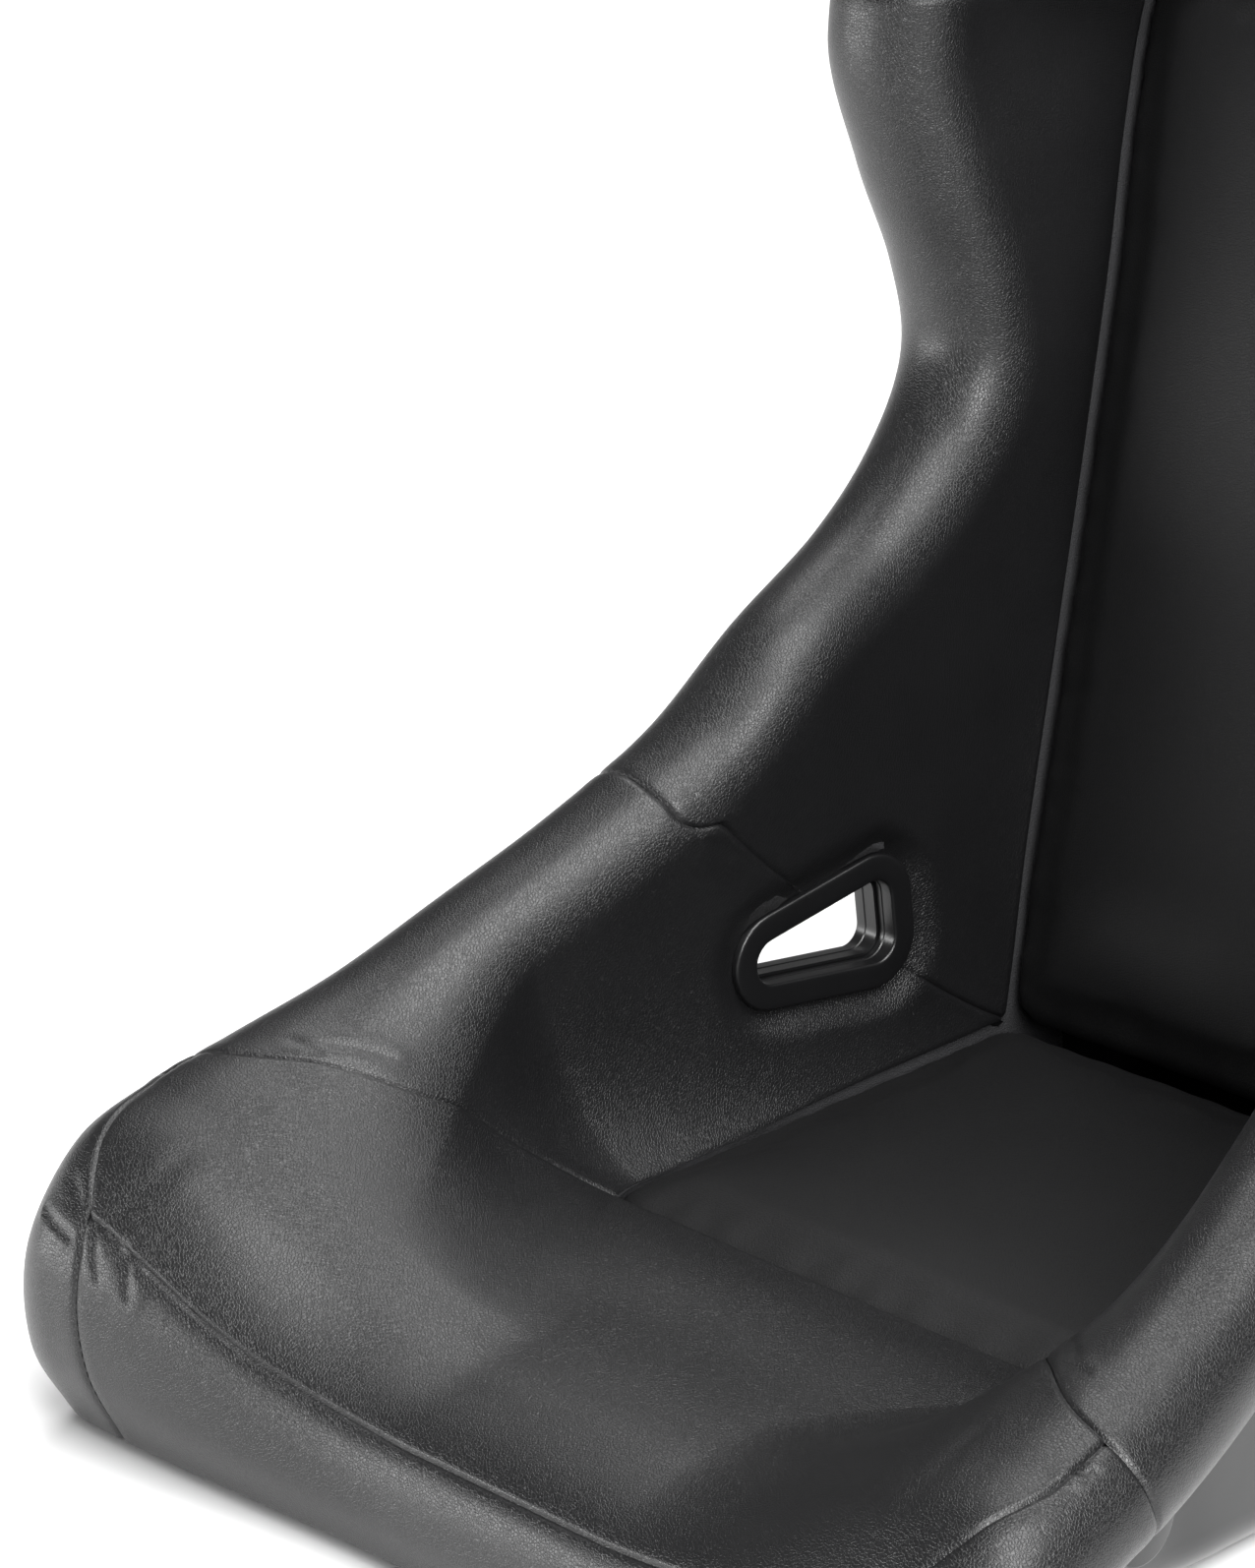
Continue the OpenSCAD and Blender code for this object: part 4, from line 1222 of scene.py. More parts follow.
@dataclass(frozen=True)
class Core:
    """Foam body between the cover and the shell, a little short of its seams."""

    name: str
    nodes: tuple[str, ...]
    start: Bound
    end: Bound
    rows: int
    span: bool
    last: float = 11.6
    depth: float = 2.6
    short: float = 0.05
    columns: int = 44
    leg_columns: int = 8

    def rows_at(self, index: Array) -> Array:
        """Stations of the rows at given contour indices.

        Args:
            index: contour indices of the columns.

        Returns:
            Stations, one row for each row of the foam.
        """
        u = np.linspace(0, 1, self.rows)[:, None]
        a = self.start(index) + self.short
        return a + (self.end(index) - self.short - a) * u

    def build(self, beds: Sequence[SlotFrame]) -> bpy.types.Object:
        """Make the foam as one closed body.

        Args:
            beds: belt slots whose flanges press the foam flat.

        Returns:
            The foam's object.
        """
        legs = self.leg_columns
        index = np.concatenate([np.zeros(legs), np.linspace(0, self.last, self.columns)])
        t = self.rows_at(index)
        index = index + np.zeros_like(t)
        outer = FORM.trim(t, np.maximum(index, 1e-4), inward=self.depth)
        # the first columns run to the centre plane, or down to the shell's floor
        sec = FORM.section(t[:, :legs])
        if self.span:
            across = outer[:, legs, 0][:, None] * np.linspace(0, 0.9, legs)
            outer[:, :legs] = sec.place(across, np.full_like(across, -self.depth))
        else:
            up = np.linspace(1, 0, legs)
            low = FORM.laminate + FORM.fit_gap - sec.depth
            outer[:, :legs] = sec.place(sec.foot_x + self.depth,
                                        low * up - self.depth * (1 - up))
        edge = self.rows_at(np.array([FORM.edge]))
        share = np.concatenate([np.linspace(0, 1, 13), np.linspace(1.1, 2, 8),
                                np.linspace(2.2, 5, 20)])
        line = FORM.shell(edge + 0 * share, share + 0 * edge, -FORM.laminate - FORM.wrap_gap)
        if not self.span:
            # the inner face starts where the side foam stands on the floor
            foot = FORM.section(edge[:, 0]).foot_x + self.depth + 1
            for row, x in zip(line, foot):
                at = int(np.argmax(row[:, 0] > x))
                if at:
                    row[:at] = [x, np.interp(x, row[:at + 1, 0], row[:at + 1, 1])]
        line = resampled(line, outer.shape[1])
        for bed in beds:
            outer = bed.pressed(outer, self.depth)
        sec = FORM.section(edge + 0 * line[..., 0])
        inner = sec.place(line[..., 0], line[..., 1])
        if self.span:
            outer = np.concatenate([outer[:, :0:-1] * MIRROR, outer], axis=1)
            inner = np.concatenate([inner[:, :0:-1] * MIRROR, inner], axis=1)
        solid, faces = slab(outer, inner)
        return mesh_object(self.name, solid, faces, FOAM)


@dataclass(frozen=True)
class Padding:
    """The moulded foam under the sewn cover."""

    fill: float = 1.0
    head_end: float = 23.0

    def cores(self) -> list[Core]:
        """The foam bodies of the middle and of the sitter's left side.

        Returns:
            The foam bodies in the order in which they are built.
        """
        neck = always(FORM.neck_seam)
        return [
            Core("front_roll_core", ("front_roll_foam",), always(0), FORM.crest_seam, 40, True),
            Core("thigh_core", ("thigh_foam",), FORM.crest_seam, FORM.mid_seam, 40, False),
            Core("torso_core", ("torso_foam",), FORM.mid_seam, neck, 60, False),
            Core("head_core", ("head_foam",), neck, always(self.head_end), 50, True),
        ]

    def build(self, slots: "BeltSlots") -> None:
        """Build the foam bodies, cut the belt slots and mirror the side ones.

        Args:
            slots: the belt slots that pass through the foam.
        """
        for core in self.cores():
            slotted = not core.name.startswith("front")
            obj = core.build([slots.lap(), slots.shoulder()] if slotted else [])
            if slotted:
                cut(obj, slots.foam_cutters(core.span))
            if core.span:
                register(obj, core.nodes)
            else:
                register_pair(obj, core.name, core.nodes[0])


# ---- belt slot trims

@dataclass
class BeltSlots:
    """The two lap belt slots and two shoulder belt slots with their moulded trims."""

    lap_in: float = 17.0
    lap_y: float = 50.0
    lap_z: float = 158.0
    lap_yaw: float = 5.0
    lap_tilt: float = 2.0
    lap_corners: tuple[tuple[float, float], ...] = ((-37, -3), (30, -10), (28, 10))
    lap_radius: float = 11.5
    lap_seat: float = 0.0
    lap_depth: float = 20.5
    lap_joint: float = 10.0
    shoulder_x: float = 92.0
    shoulder_station: float = 17.45
    shoulder_half: tuple[float, float] = (23.0, 7.0)
    shoulder_radius: float = 15.0
    shoulder_seat: float = 1.0
    shoulder_depth: float = 55.0
    shoulder_joint: float = 30.0
    bed: float = 0.35
    flange: float = 13.5
    thick: float = 4.0
    lip_round: float = 1.6
    rim_round: float = 1.8
    groove: float = 0.5
    outer_round: float = 1.6
    outer_lip: float = 2.0
    outer_groove: float = 0.45
    sleeve: float = 2.0
    step: float = 1.5
    gap: float = 0.3
    land_round: float = 1.5
    land_foot: float = 7.5
    helpers: dict[str, bpy.types.Object] = field(default_factory=dict)

    def lap(self) -> SlotFrame:
        """Frame of the left lap slot; depth points out through the bolster.

        Returns:
            The frame.
        """
        turn = turned(z=self.lap_yaw, y=self.lap_tilt)
        axes = np.column_stack([turn[:, 1], turn[:, 2], turn[:, 0]])
        return SlotFrame(np.array([FORM.half_width + self.lap_in, self.lap_y, self.lap_z]), axes,
                         self.lap_corners, self.lap_radius, seat=self.lap_seat + self.bed,
                         flange=self.flange)

    def shoulder(self) -> SlotFrame:
        """Frame of the left shoulder slot; depth points back through the shell.

        Returns:
            The frame.
        """
        near, at, far = (FORM.placed(FORM.pad, np.array(self.shoulder_station + d), FORM.corner)
                         for d in (-0.4, 0, 0.4))
        rake = math.degrees(math.atan2(far[0] - near[0], far[1] - near[1]))
        a, b = self.shoulder_half
        return SlotFrame(np.array([self.shoulder_x, at[0], at[1]]), turned(x=-90 - rake),
                         ((a, b), (-a, b), (-a, -b), (a, -b)), self.shoulder_radius,
                         seat=self.shoulder_seat + self.bed, flange=self.flange)

    def cutter(self, key: str, frame_: SlotFrame, profile: Sequence[tuple[float, float]],
               both: bool) -> list[bpy.types.Object]:
        """Hidden cutting body, and its mirror image where both sides are cut.

        Args:
            key: name that the body is kept under.
            frame_: frame of the slot.
            profile: distance out and depth of each ring.
            both: whether the other side is cut too.

        Returns:
            One or two cutting bodies.
        """
        if key not in self.helpers:
            self.helpers[key] = frame_.plug("cutter_" + key, profile, ABS)
            self.helpers[key + "_m"] = mirrored(self.helpers[key], "cutter_" + key + "_m")
        return [self.helpers[key]] + ([self.helpers[key + "_m"]] if both else [])

    def cover_cutters(self, both: bool) -> list[bpy.types.Object]:
        """What is cut out of the cover: the slot itself.

        Args:
            both: whether the piece spans both sides.

        Returns:
            The cutting bodies.
        """
        out = self.sleeve + self.gap + 0.2
        lap, top = [(out, -40), (out, 62)], [(out, -40), (out, 95)]
        cutters = self.cutter("shoulder_cover", self.shoulder(), top, both)
        return cutters if both else cutters + self.cutter("lap_cover", self.lap(), lap, False)

    def foam_cutters(self, both: bool) -> list[bpy.types.Object]:
        """What is cut out of the foam: flange bed, slot and the room of the shell's land.

        Args:
            both: whether the piece spans both sides.

        Returns:
            The cutting bodies.
        """
        out = self.sleeve + self.gap + 0.4
        bed = self.flange + self.gap + 0.2
        land = self.flange + 8
        lap = [(bed, -40), (bed, 2.8), (out, 2.81), (out, self.lap_depth - 8),
               (land, self.lap_depth - 7.99), (land, 62)]
        top = [(bed, -40), (bed, 3.8), (out, 3.81), (out, self.shoulder_depth - 8),
               (land, self.shoulder_depth - 7.99), (land, 95)]
        cutters = self.cutter("shoulder_foam", self.shoulder(), top, both)
        return cutters if both else cutters + self.cutter("lap_foam", self.lap(), lap, False)

    def shell_cutters(self) -> list[bpy.types.Object]:
        """What is cut out of the shell.

        Returns:
            The cutting bodies of both sides.
        """
        out = self.sleeve + self.gap
        return (self.cutter("lap_shell", self.lap(), [(out, -30), (out, 70)], True)
                + self.cutter("shoulder_shell", self.shoulder(), [(out, 5), (out, 100)], True))

    def inner_profile(self, seat: float, joint: float) -> list[tuple[float, float]]:
        """Section of an inner trim: domed flange, rolled lip, sleeve with a parting step.

        Args:
            seat: depth of the face that rests on the cover.
            joint: depth at which the sleeve ends.

        Returns:
            Pairs of distance out and depth.
        """
        t, f, r, e = self.thick, self.flange, self.lip_round, self.rim_round
        lip = [(r - r * math.cos(a), seat - t + r - r * math.sin(a))
               for a in np.radians([0, 20, 40, 60, 80])]
        dome = [(f * s, seat - t + 0.35 * s ** 3) for s in (0.3, 0.45, 0.6, 0.74)]
        rim = [(f - e + e * math.sin(a), seat - t + 2.1 - e * math.cos(a))
               for a in np.radians([5, 25, 45, 65, 90])]
        return (lip + dome + rim + [(f, seat - 0.2), (f - 0.2, seat), (self.sleeve, seat),
                (self.sleeve, joint), (0, joint), (0, joint - 0.25), (0, seat + 4.6),
                (self.groove, seat + 4.2), (self.groove, seat + 3.2), (0, seat + 2.8)])

    def outer_profile(self, depth: float, joint: float) -> list[tuple[float, float]]:
        """Section of an outer trim: sleeve inside the inner one, and a rounded outer flange.

        Args:
            depth: depth of the face that rests on the shell.
            joint: depth at which the inner sleeve ends.

        Returns:
            Pairs of distance out and depth.
        """
        bore, wall, f = -self.gap - self.step, -self.gap, self.flange
        r, e = self.outer_round, self.outer_lip
        rim = [(f - r + r * math.cos(a), depth + 1.4 + r * math.sin(a))
               for a in np.radians([0, 25, 50, 75, 90])]
        lip = [(bore + e - e * math.sin(a), depth + 1 + e * math.cos(a))
               for a in np.radians([0, 25, 50, 75, 90])]
        mid, cut_in = 0.5 * (joint + depth), bore + self.outer_groove
        return ([(bore, joint - 2), (wall, joint - 2), (wall, depth), (f, depth)] + rim + lip
                + [(bore, mid + 1), (cut_in, mid + 0.6), (cut_in, mid - 0.6), (bore, mid - 1)])

    def land_profile(self, depth: float) -> list[tuple[float, float]]:
        """Section of the land moulded on the shell round a slot.

        Args:
            depth: depth of its face.

        Returns:
            Pairs of distance out and depth.
        """
        hole, edge, r = self.sleeve + self.gap, self.flange + 4, self.land_round
        rim = [(edge - r + r * math.sin(a), depth - r + r * math.cos(a))
               for a in np.radians([0, 30, 60, 90])]
        foot = depth - self.land_foot
        return [(hole, foot), (hole, depth)] + rim + [(edge + r, foot)]

    def build(self) -> None:
        """Build the trims of all four slots."""
        for kind, frame_, seat, depth, joint in (
                ("lap", self.lap(), self.lap_seat, self.lap_depth, self.lap_joint),
                ("shoulder", self.shoulder(), self.shoulder_seat, self.shoulder_depth,
                 self.shoulder_joint)):
            for half, profile in (("inner", self.inner_profile(seat, joint)),
                                  ("outer", self.outer_profile(depth, joint))):
                name = f"{kind}_trim_{half}"
                register_pair(frame_.band(name, profile, ABS), name,
                              f"{kind}_bezel_{half}")

    def clear(self) -> None:
        """Remove the cutting bodies."""
        drop(list(self.helpers.values()))
        self.helpers.clear()


# ---- shell

@dataclass
class Shell:
    """The laminate shell with its lands, its bosses and the edging round its rim."""

    boss_radius: float = 20.0
    boss_out: float = 192.0
    boss_round: float = 1.5
    boss_foot: float = 8.5
    hole: float = 7.15
    pitch: float = 290.0
    mount_z: float = 50.0
    least_floor: float = 3.3
    crease_angle: float = 42.0
    edging: float = 2.2
    edging_at: float = 3.5

    def skin(self) -> bpy.types.Object:
        """The laminate as one closed sheet, flat underneath.

        Returns:
            The laminate, before its holes are cut.
        """
        t = np.linspace(0, FORM.shell_end, 190)[:, None]
        share = np.concatenate([np.linspace(0, 1, 9), np.linspace(1.1, 2, 10),
                                np.linspace(2.25, 3, 4), np.linspace(3.06, 4, 16),
                                np.linspace(4.17, 5, 6)])[None, :]
        sec = FORM.section(t + 0 * share)
        faces = []
        for outward in (0.0, -FORM.laminate):
            line = FORM.shell(t + 0 * share, share + 0 * t, outward)
            points = sec.place(line[..., 0], line[..., 1])
            points[..., 2] = np.maximum(points[..., 2], self.least_floor if outward else 0.0)
            faces.append(np.concatenate([points[:, :0:-1] * MIRROR, points], axis=1))
        solid, corners = slab(faces[0], faces[1])
        return mesh_object("shell_laminate", solid, corners, GELCOAT, sharp=self.crease_angle)

    def boss_frame(self, front: bool) -> SlotFrame:
        """Round frame of a mounting boss; depth runs along X.

        Args:
            front: whether it is the front one.

        Returns:
            The frame.
        """
        y = self.pitch / 2 * (-1 if front else 1)
        axes = np.array([[0, 0, 1.0], [1, 0, 0], [0, 1, 0]])
        e = 0.01
        return SlotFrame(np.array([0.0, y, self.mount_z]), axes,
                         ((e, e), (-e, e), (-e, -e), (e, -e)), 0.02, 12)

    def boss_profile(self) -> list[tuple[float, float]]:
        """Section of a mounting boss round its hole.

        Returns:
            Pairs of distance out and depth.
        """
        top, r, e = self.boss_out, self.boss_radius, self.boss_round
        rim = [(r - e + e * math.sin(a), top - e + e * math.cos(a))
               for a in np.radians([0, 30, 60, 90])]
        foot = top - self.boss_foot
        return [(self.hole, foot), (self.hole, top)] + rim + [(r + 1.2, foot)]

    def build(self, slots: BeltSlots) -> None:
        """Build the shell and its edging.

        Args:
            slots: the belt slots that pass through the shell.
        """
        obj = self.skin()
        extra = []
        for front in (True, False):
            plug = self.boss_frame(front).plug(
                "cutter_boss", [(self.hole, 150), (self.hole, 220)], ABS)
            extra += [plug, mirrored(plug, "cutter_boss_m")]
        cut(obj, slots.shell_cutters() + extra)
        drop(extra)
        added = [slots.lap().band("land", slots.land_profile(slots.lap_depth), GELCOAT),
                 slots.shoulder().band("land", slots.land_profile(slots.shoulder_depth), GELCOAT)]
        added += [self.boss_frame(front).band("boss", self.boss_profile(), GELCOAT)
                  for front in (True, False)]
        work = bmesh.new()
        work.from_mesh(obj.data)
        for piece in added:
            twin = mirrored(piece, "twin")
            work.from_mesh(piece.data)
            work.from_mesh(twin.data)
            drop([twin])
        drop(added)
        work.to_mesh(obj.data)
        work.free()
        obj.data.shade_smooth()
        obj.data.set_sharp_from_angle(angle=math.radians(self.crease_angle))
        register(obj, ["shell"])
        self.bead()

    def bead(self) -> None:
        """Edging along the cut edge of the cover, on each side."""
        t = np.linspace(0, FORM.shell_end, 200)
        share = np.full_like(t, self.edging_at)
        out = FORM.shell(t, share, self.edging + FORM.wrap_gap)
        low = FORM.shell(t, share - 0.02, self.edging + FORM.wrap_gap)
        step = low - out
        out = out + step / np.linalg.norm(step, axis=-1, keepdims=True) * (self.edging + 0.8)
        middle = FORM.section(t).place(out[:, 0], out[:, 1])
        along = np.gradient(middle, axis=0)
        along /= np.linalg.norm(along, axis=-1, keepdims=True)
        side = np.cross(np.array([1.0, 0, 0]), along)
        side /= np.linalg.norm(side, axis=-1, keepdims=True)
        up = np.cross(along, side)
        angle = np.linspace(0, 2 * math.pi, 14, endpoint=False)[None, :, None]
        rings = middle[:, None] + self.edging * (np.cos(angle) * side[:, None]
                                                + np.sin(angle) * up[:, None])
        faces = capped_faces(*rings.shape[:2])
        register_pair(mesh_object("edge_trim", rings, faces, EDGING), "edge_trim",
                      "edge_bead")


# ---- loose cushions

@dataclass
class Cushion:
    """A loose padded cushion: a crowned closed form with rounded edges and drawn-in sides."""

    name: str
    nodes: tuple[str, ...]
    low: float
    crown: float
    edge: float = 6.5
    corner: float = 16.0
    first_edge: float = 1.0
    last_edge: float = 1.0
    draw: float = 1.5
    inset: float = 1.2
    least_corner: float = 8.0
    corner_steps: int = 9
    side_steps: int = 16
    grid_mm: float = 5.0
    fill: float = 0.85
    pressure: float = 4.0
    frames: int = 20
    swell: float = 6.0
    hollow: float = 0.5
    gather: float = 0.35

    def half(self, v: Array) -> Array:
        """Half width at a distance along the cushion."""
        raise NotImplementedError

    def ends(self) -> tuple[float, float]:
        """First and last distance along the cushion."""
        raise NotImplementedError

    def place(self, x: Array, v: Array, n: Array) -> Array:
        """Put a point across, along and above the cushion's face into the seat frame."""
        raise NotImplementedError

    def flat(self, points: Array) -> tuple[Array, Array, Array]:
        """Undo place for points in the seat frame."""
        raise NotImplementedError

    def rings(self) -> Array:
        """Rings of the form, from the underside over the edge to the middle of the face.

        Returns:
            One row of points for each ring.
        """
        v0, v1 = self.ends()
        v0, v1 = v0 + self.inset, v1 - self.inset
        middle = min(self.half(np.array(0.5 * (v0 + v1))), 0.5 * (v1 - v0)) - 6
        rings = []
        for p, n in self.levels(middle):
            r = max(self.corner - p / 2, self.least_corner)
            side, extra, v = self.outline(p, r, v0, v1)
            share = np.clip((v - v0) / (v1 - v0), 0, 1)
            x = side * (self.half(v) - self.inset - p - r) + extra
            drawn = self.draw * np.sin(math.pi * share)
            x -= np.sign(side) * drawn * np.clip((np.abs(side) - 0.9) * 10, 0, 1)
            inner = np.clip((p - 2) / (0.6 * middle), 0, 1)
            rise = self.crown * np.sin(inner * math.pi / 2) if n >= -self.edge else 0.0
            rings.append(self.place(x, v, n + rise + np.zeros_like(v)))
        return np.array(rings)

    def levels(self, middle: float) -> list[tuple[float, float]]:
        """Distance in from the outline and height of every ring.

        Args:
            middle: distance in of the last ring.

        Returns:
            Pairs of distance in and height, from the underside to the face.
        """
        out = [(6.0, -self.low), (0.0, -self.low + 5)]
        out += [(0.0, d) for d in np.linspace(-self.low + 12, -self.edge - 2, 6)]
        out += [(self.edge * (1 - math.cos(a)), -self.edge * (1 - math.sin(a)))
                for a in np.radians([10, 30, 50, 70, 90])]
        return out + [(p, 0.0) for p in np.linspace(self.edge + 8, middle, 12)]

    def outline(self, p: float, r: float, v0: float, v1: float) -> tuple[Array, Array, Array]:
        """One ring seen from above, with round corners.

        Args:
            p: distance in from the cushion's own outline.
            r: corner radius.
            v0: first distance along the cushion.
            v1: last distance along the cushion.

        Returns:
            Side of each point from -1 to 1, its distance out from there and its distance
            along the cushion.
        """
        # a butted end keeps only a share of the rounding
        fore = p - (1 - self.first_edge) * min(p, self.edge)
        aft = p - (1 - self.last_edge) * min(p, self.edge)
        hv, vm = 0.5 * (v1 - aft - v0 - fore), 0.5 * (v0 + fore + v1 - aft)
        corners = ((1, 1, 0), (-1, 1, 90), (-1, -1, 180), (1, -1, 270))
        out = []
        for (su, sv, first), (nu, nv, _) in zip(corners, corners[1:] + corners[:1]):
            for a in np.radians(first + np.linspace(0, 90, self.corner_steps)):
                out.append((su, r * math.cos(a), vm + sv * (hv - r) + r * math.sin(a)))
            last, end = out[-1], math.radians(first + 90)
            goal = vm + nv * (hv - r) + r * math.sin(end)
            out += [(last[0] + (nu - last[0]) * j / self.side_steps, last[1],
                     last[2] + (goal - last[2]) * j / self.side_steps)
                    for j in range(1, self.side_steps)]
        side, extra, v = (np.array(c) for c in zip(*out))
        return side, extra, v

    def build(self) -> bpy.types.Object:
        """Make the cushion, let it swell as stuffed cloth and give its face creases.

        Returns:
            The finished cushion.
        """
        rings = self.rings()
        faces = capped_faces(*rings.shape[:2])
        # the cushions take the vinyl whose darker colour is painted shade
        obj = mesh_object(self.name, rings, faces, SHADED_CUSHION_VINYL)
        grid = obj.modifiers.new("grid", "REMESH")
        grid.mode = "VOXEL"
        grid.voxel_size = self.grid_mm * MM
        bake(obj)
        self.stuff(obj)
        self.shape_face(obj)
        fine = obj.modifiers.new("fine", "SUBSURF")
        fine.levels = fine.render_levels = 1
        bake(obj)
        obj.data.shade_smooth()
        return obj

    def stuff(self, obj: bpy.types.Object) -> None:
        """Inflate the cover as cloth, keeping the sides and the underside in their space.

        Args:
            obj: the cushion before it is stuffed.
        """
        start = read_points(obj)
        cloth = obj.modifiers.new("stuffing", "CLOTH")
        cloth.settings.use_pressure = True
        cloth.settings.uniform_pressure_force = self.pressure
        cloth.settings.effector_weights.gravity = 0.0
        cloth.settings.quality = 5
        scene = bpy.context.scene
        for step in range(1, self.frames + 1):
            scene.frame_set(step)
        moved = read_points(obj.evaluated_get(bpy.context.evaluated_depsgraph_get()))
        obj.modifiers.clear()
        scene.frame_set(1)
        shift = moved - start
        size = np.linalg.norm(shift, axis=1, keepdims=True)
        shift *= np.minimum(1, self.swell / np.maximum(size, 1e-6))
        x, v, height = self.flat(start)
        v0, v1 = self.ends()
        room = np.minimum.reduce([self.half(v) - np.abs(x), v - v0, v1 - v])
        free = smooth((height + self.edge) / self.edge) * smooth((room - 3) / 26)
        write_points(obj, start + shift * free[:, None])

    def shape_face(self, obj: bpy.types.Object) -> None:
        """Give the face slow hollows and the edge its small gathers.

        Args:
            obj: the stuffed cushion.
        """
        points = read_points(obj)
        x, v, height = self.flat(points)
        v0, v1 = self.ends()
        rim = np.minimum.reduce([self.half(v) - np.abs(x), v - v0, v1 - v])
        on_top = smooth((height + 14) / 8)
        lift = self.hollow * np.sin(x / 29 + 1.1 * np.sin(v / 47)) * np.sin(v / 37 + 0.6)
        along = np.where(self.half(v) - np.abs(x) < np.minimum(v - v0, v1 - v), v, x)
        gathers = np.sin(along / 4.7 + np.sin(along / 19)) * np.exp(-((rim - 9) / 9) ** 2)
        lift += self.gather * gathers
        normal = read_normals(obj)
        write_points(obj, points + normal * (lift * on_top)[:, None])


def read_points(obj: bpy.types.Object) -> Array:
    """Corner points of a mesh object in millimetres.

    Args:
        obj: the object to read.

    Returns:
        One row for each corner.
    """
    out = np.empty(len(obj.data.vertices) * 3)
    obj.data.vertices.foreach_get("co", out)
    return out.reshape(-1, 3) / MM


def read_normals(obj: bpy.types.Object) -> Array:
    """Corner normals of a mesh object.

    Args:
        obj: the object to read.

    Returns:
        One row for each corner.
    """
    out = np.empty(len(obj.data.vertices) * 3)
    obj.data.vertices.foreach_get("normal", out)
    return out.reshape(-1, 3)


def write_points(obj: bpy.types.Object, points: Array) -> None:
    """Set the corner points of a mesh object from millimetres."""
    obj.data.vertices.foreach_set("co", (points * MM).ravel())
    obj.data.update()


@dataclass
class BaseCushion(Cushion):
    """The cushion on the floor of the shell."""

    name: str = "base_cushion"
    nodes: tuple[str, ...] = ("base_cushion_cover", "base_cushion_foam")
    low: float = 76.0
    crown: float = 4.0
    last_edge: float = 0.3
    clear: float = 1.7
    rear_lean: float = 0.2

    def half(self, v: Array) -> Array:
        """Half width, which is the same all along."""
        return np.full(np.shape(v), FORM.half_width - FORM.fit_gap)

    def ends(self) -> tuple[float, float]:
        """Front edge behind the front roll, and rear edge at the crease."""
        front = float(FORM.placed(FORM.pad, FORM.crest_seam(np.array(0.0)), FORM.corner)[0])
        return front + self.clear, FORM.crease_y - FORM.fit_gap

    def lean(self) -> float:
        """Slope of the front face, which follows the foam ahead of it.

        Returns:
            Distance back for each millimetre down.
        """
        seam = FORM.crest_seam(np.array(FORM.edge))
        sec = FORM.section(seam)
        foot = sec.place(np.array(0.0), FORM.laminate + FORM.wrap_gap - sec.depth)
        top = FORM.placed(FORM.pad, FORM.crest_seam(np.array(0.0)), FORM.corner)
        return float((foot[1] - top[0]) / (top[1] - foot[2]))

    def slide(self, v: Array, n: Array) -> Array:
        """How far back a point lies for its depth below the face.

        Args:
            v: distance along the cushion.
            n: height above its face.

        Returns:
            Distances towards the rear.
        """
        v0, v1 = self.ends()
        share = np.clip((v - v0) / (v1 - v0), 0, 1)
        down = np.minimum(n, 0)
        return -down * (self.lean() * (1 - share)) - down * self.rear_lean * share

    def place(self, x: Array, v: Array, n: Array) -> Array:
        """Put a cushion point into the seat frame."""
        return np.stack([x, v + self.slide(v, n), FORM.crease_z - 1 + n], -1)

    def flat(self, points: Array) -> tuple[Array, Array, Array]:
        """Undo place.

        Args:
            points: points in the seat frame.

        Returns:
            Distances across, along and above the face.
        """
        n = points[:, 2] - FORM.crease_z + 1
        v = points[:, 1]
        for _ in range(3):
            v = points[:, 1] - self.slide(v, n)
        return points[:, 0], v, n


@dataclass
class BackPad(Cushion):
    """The pad that follows the back from the crease to the neck."""

    name: str = "back_pad"
    nodes: tuple[str, ...] = ("back_pad_cover", "back_pad_foam")
    low: float = 45.0
    crown: float = 5.0
    first_edge: float = 0.3
    end_gap: float = 1.0

    def table(self) -> tuple[Array, Array, Array]:
        """Distance up the back, with the place and the direction there.

        Returns:
            Distances, places and unit directions along the back.
        """
        t = np.linspace(FORM.corner + 0.001, FORM.neck_seam - 0.006, 400)
        p = FORM.placed(FORM.pad, t, FORM.corner)
        run = np.concatenate([[0], np.cumsum(np.linalg.norm(np.diff(p, axis=0), axis=1))])
        d = np.gradient(p, axis=0)
        return run, p, d / np.linalg.norm(d, axis=1, keepdims=True)

    def half(self, v: Array) -> Array:
        """Half width, which grows towards the shoulders.

        Args:
            v: distance up the back.

        Returns:
            Half widths.
        """
        run = self.table()[0]
        t = np.interp(v, run, np.linspace(FORM.corner, FORM.neck_seam, len(run)))
        return FORM.half_width + spline(FORM.pad_wider, t) - FORM.fit_gap

    def ends(self) -> tuple[float, float]:
        """Lower and upper edge."""
        return self.end_gap, float(self.table()[0][-1]) - self.end_gap

    def place(self, x: Array, v: Array, n: Array) -> Array:
        """Put a pad point into the seat frame.

        Args:
            x: distance across.
            v: distance up the back.
            n: height above the face.

        Returns:
            Points in the seat frame.
        """
        run, p, d = self.table()
        y, z, dy, dz = (np.interp(v, run, c) for c in (p[:, 0], p[:, 1], d[:, 0], d[:, 1]))
        return np.stack([x, y - n * dz, z + n * dy], -1)

    def flat(self, points: Array) -> tuple[Array, Array, Array]:
        """Undo place with the nearest point of the back's line.

        Args:
            points: points in the seat frame.

        Returns:
            Distances across, up the back and above the face.
        """
        run, p, d = self.table()
        v = np.empty(len(points))
        n = np.empty(len(points))
        for k in range(0, len(points), 4000):
            q = points[k:k + 4000, 1:]
            gap = q[:, None, :] - p[None, :, :]
            at = np.argmin((gap ** 2).sum(-1), axis=1)
            v[k:k + 4000] = run[at]
            near = gap[np.arange(len(q)), at]
            n[k:k + 4000] = -near[:, 0] * d[at, 1] + near[:, 1] * d[at, 0]
        return points[:, 0], v, n


# ---- stitching

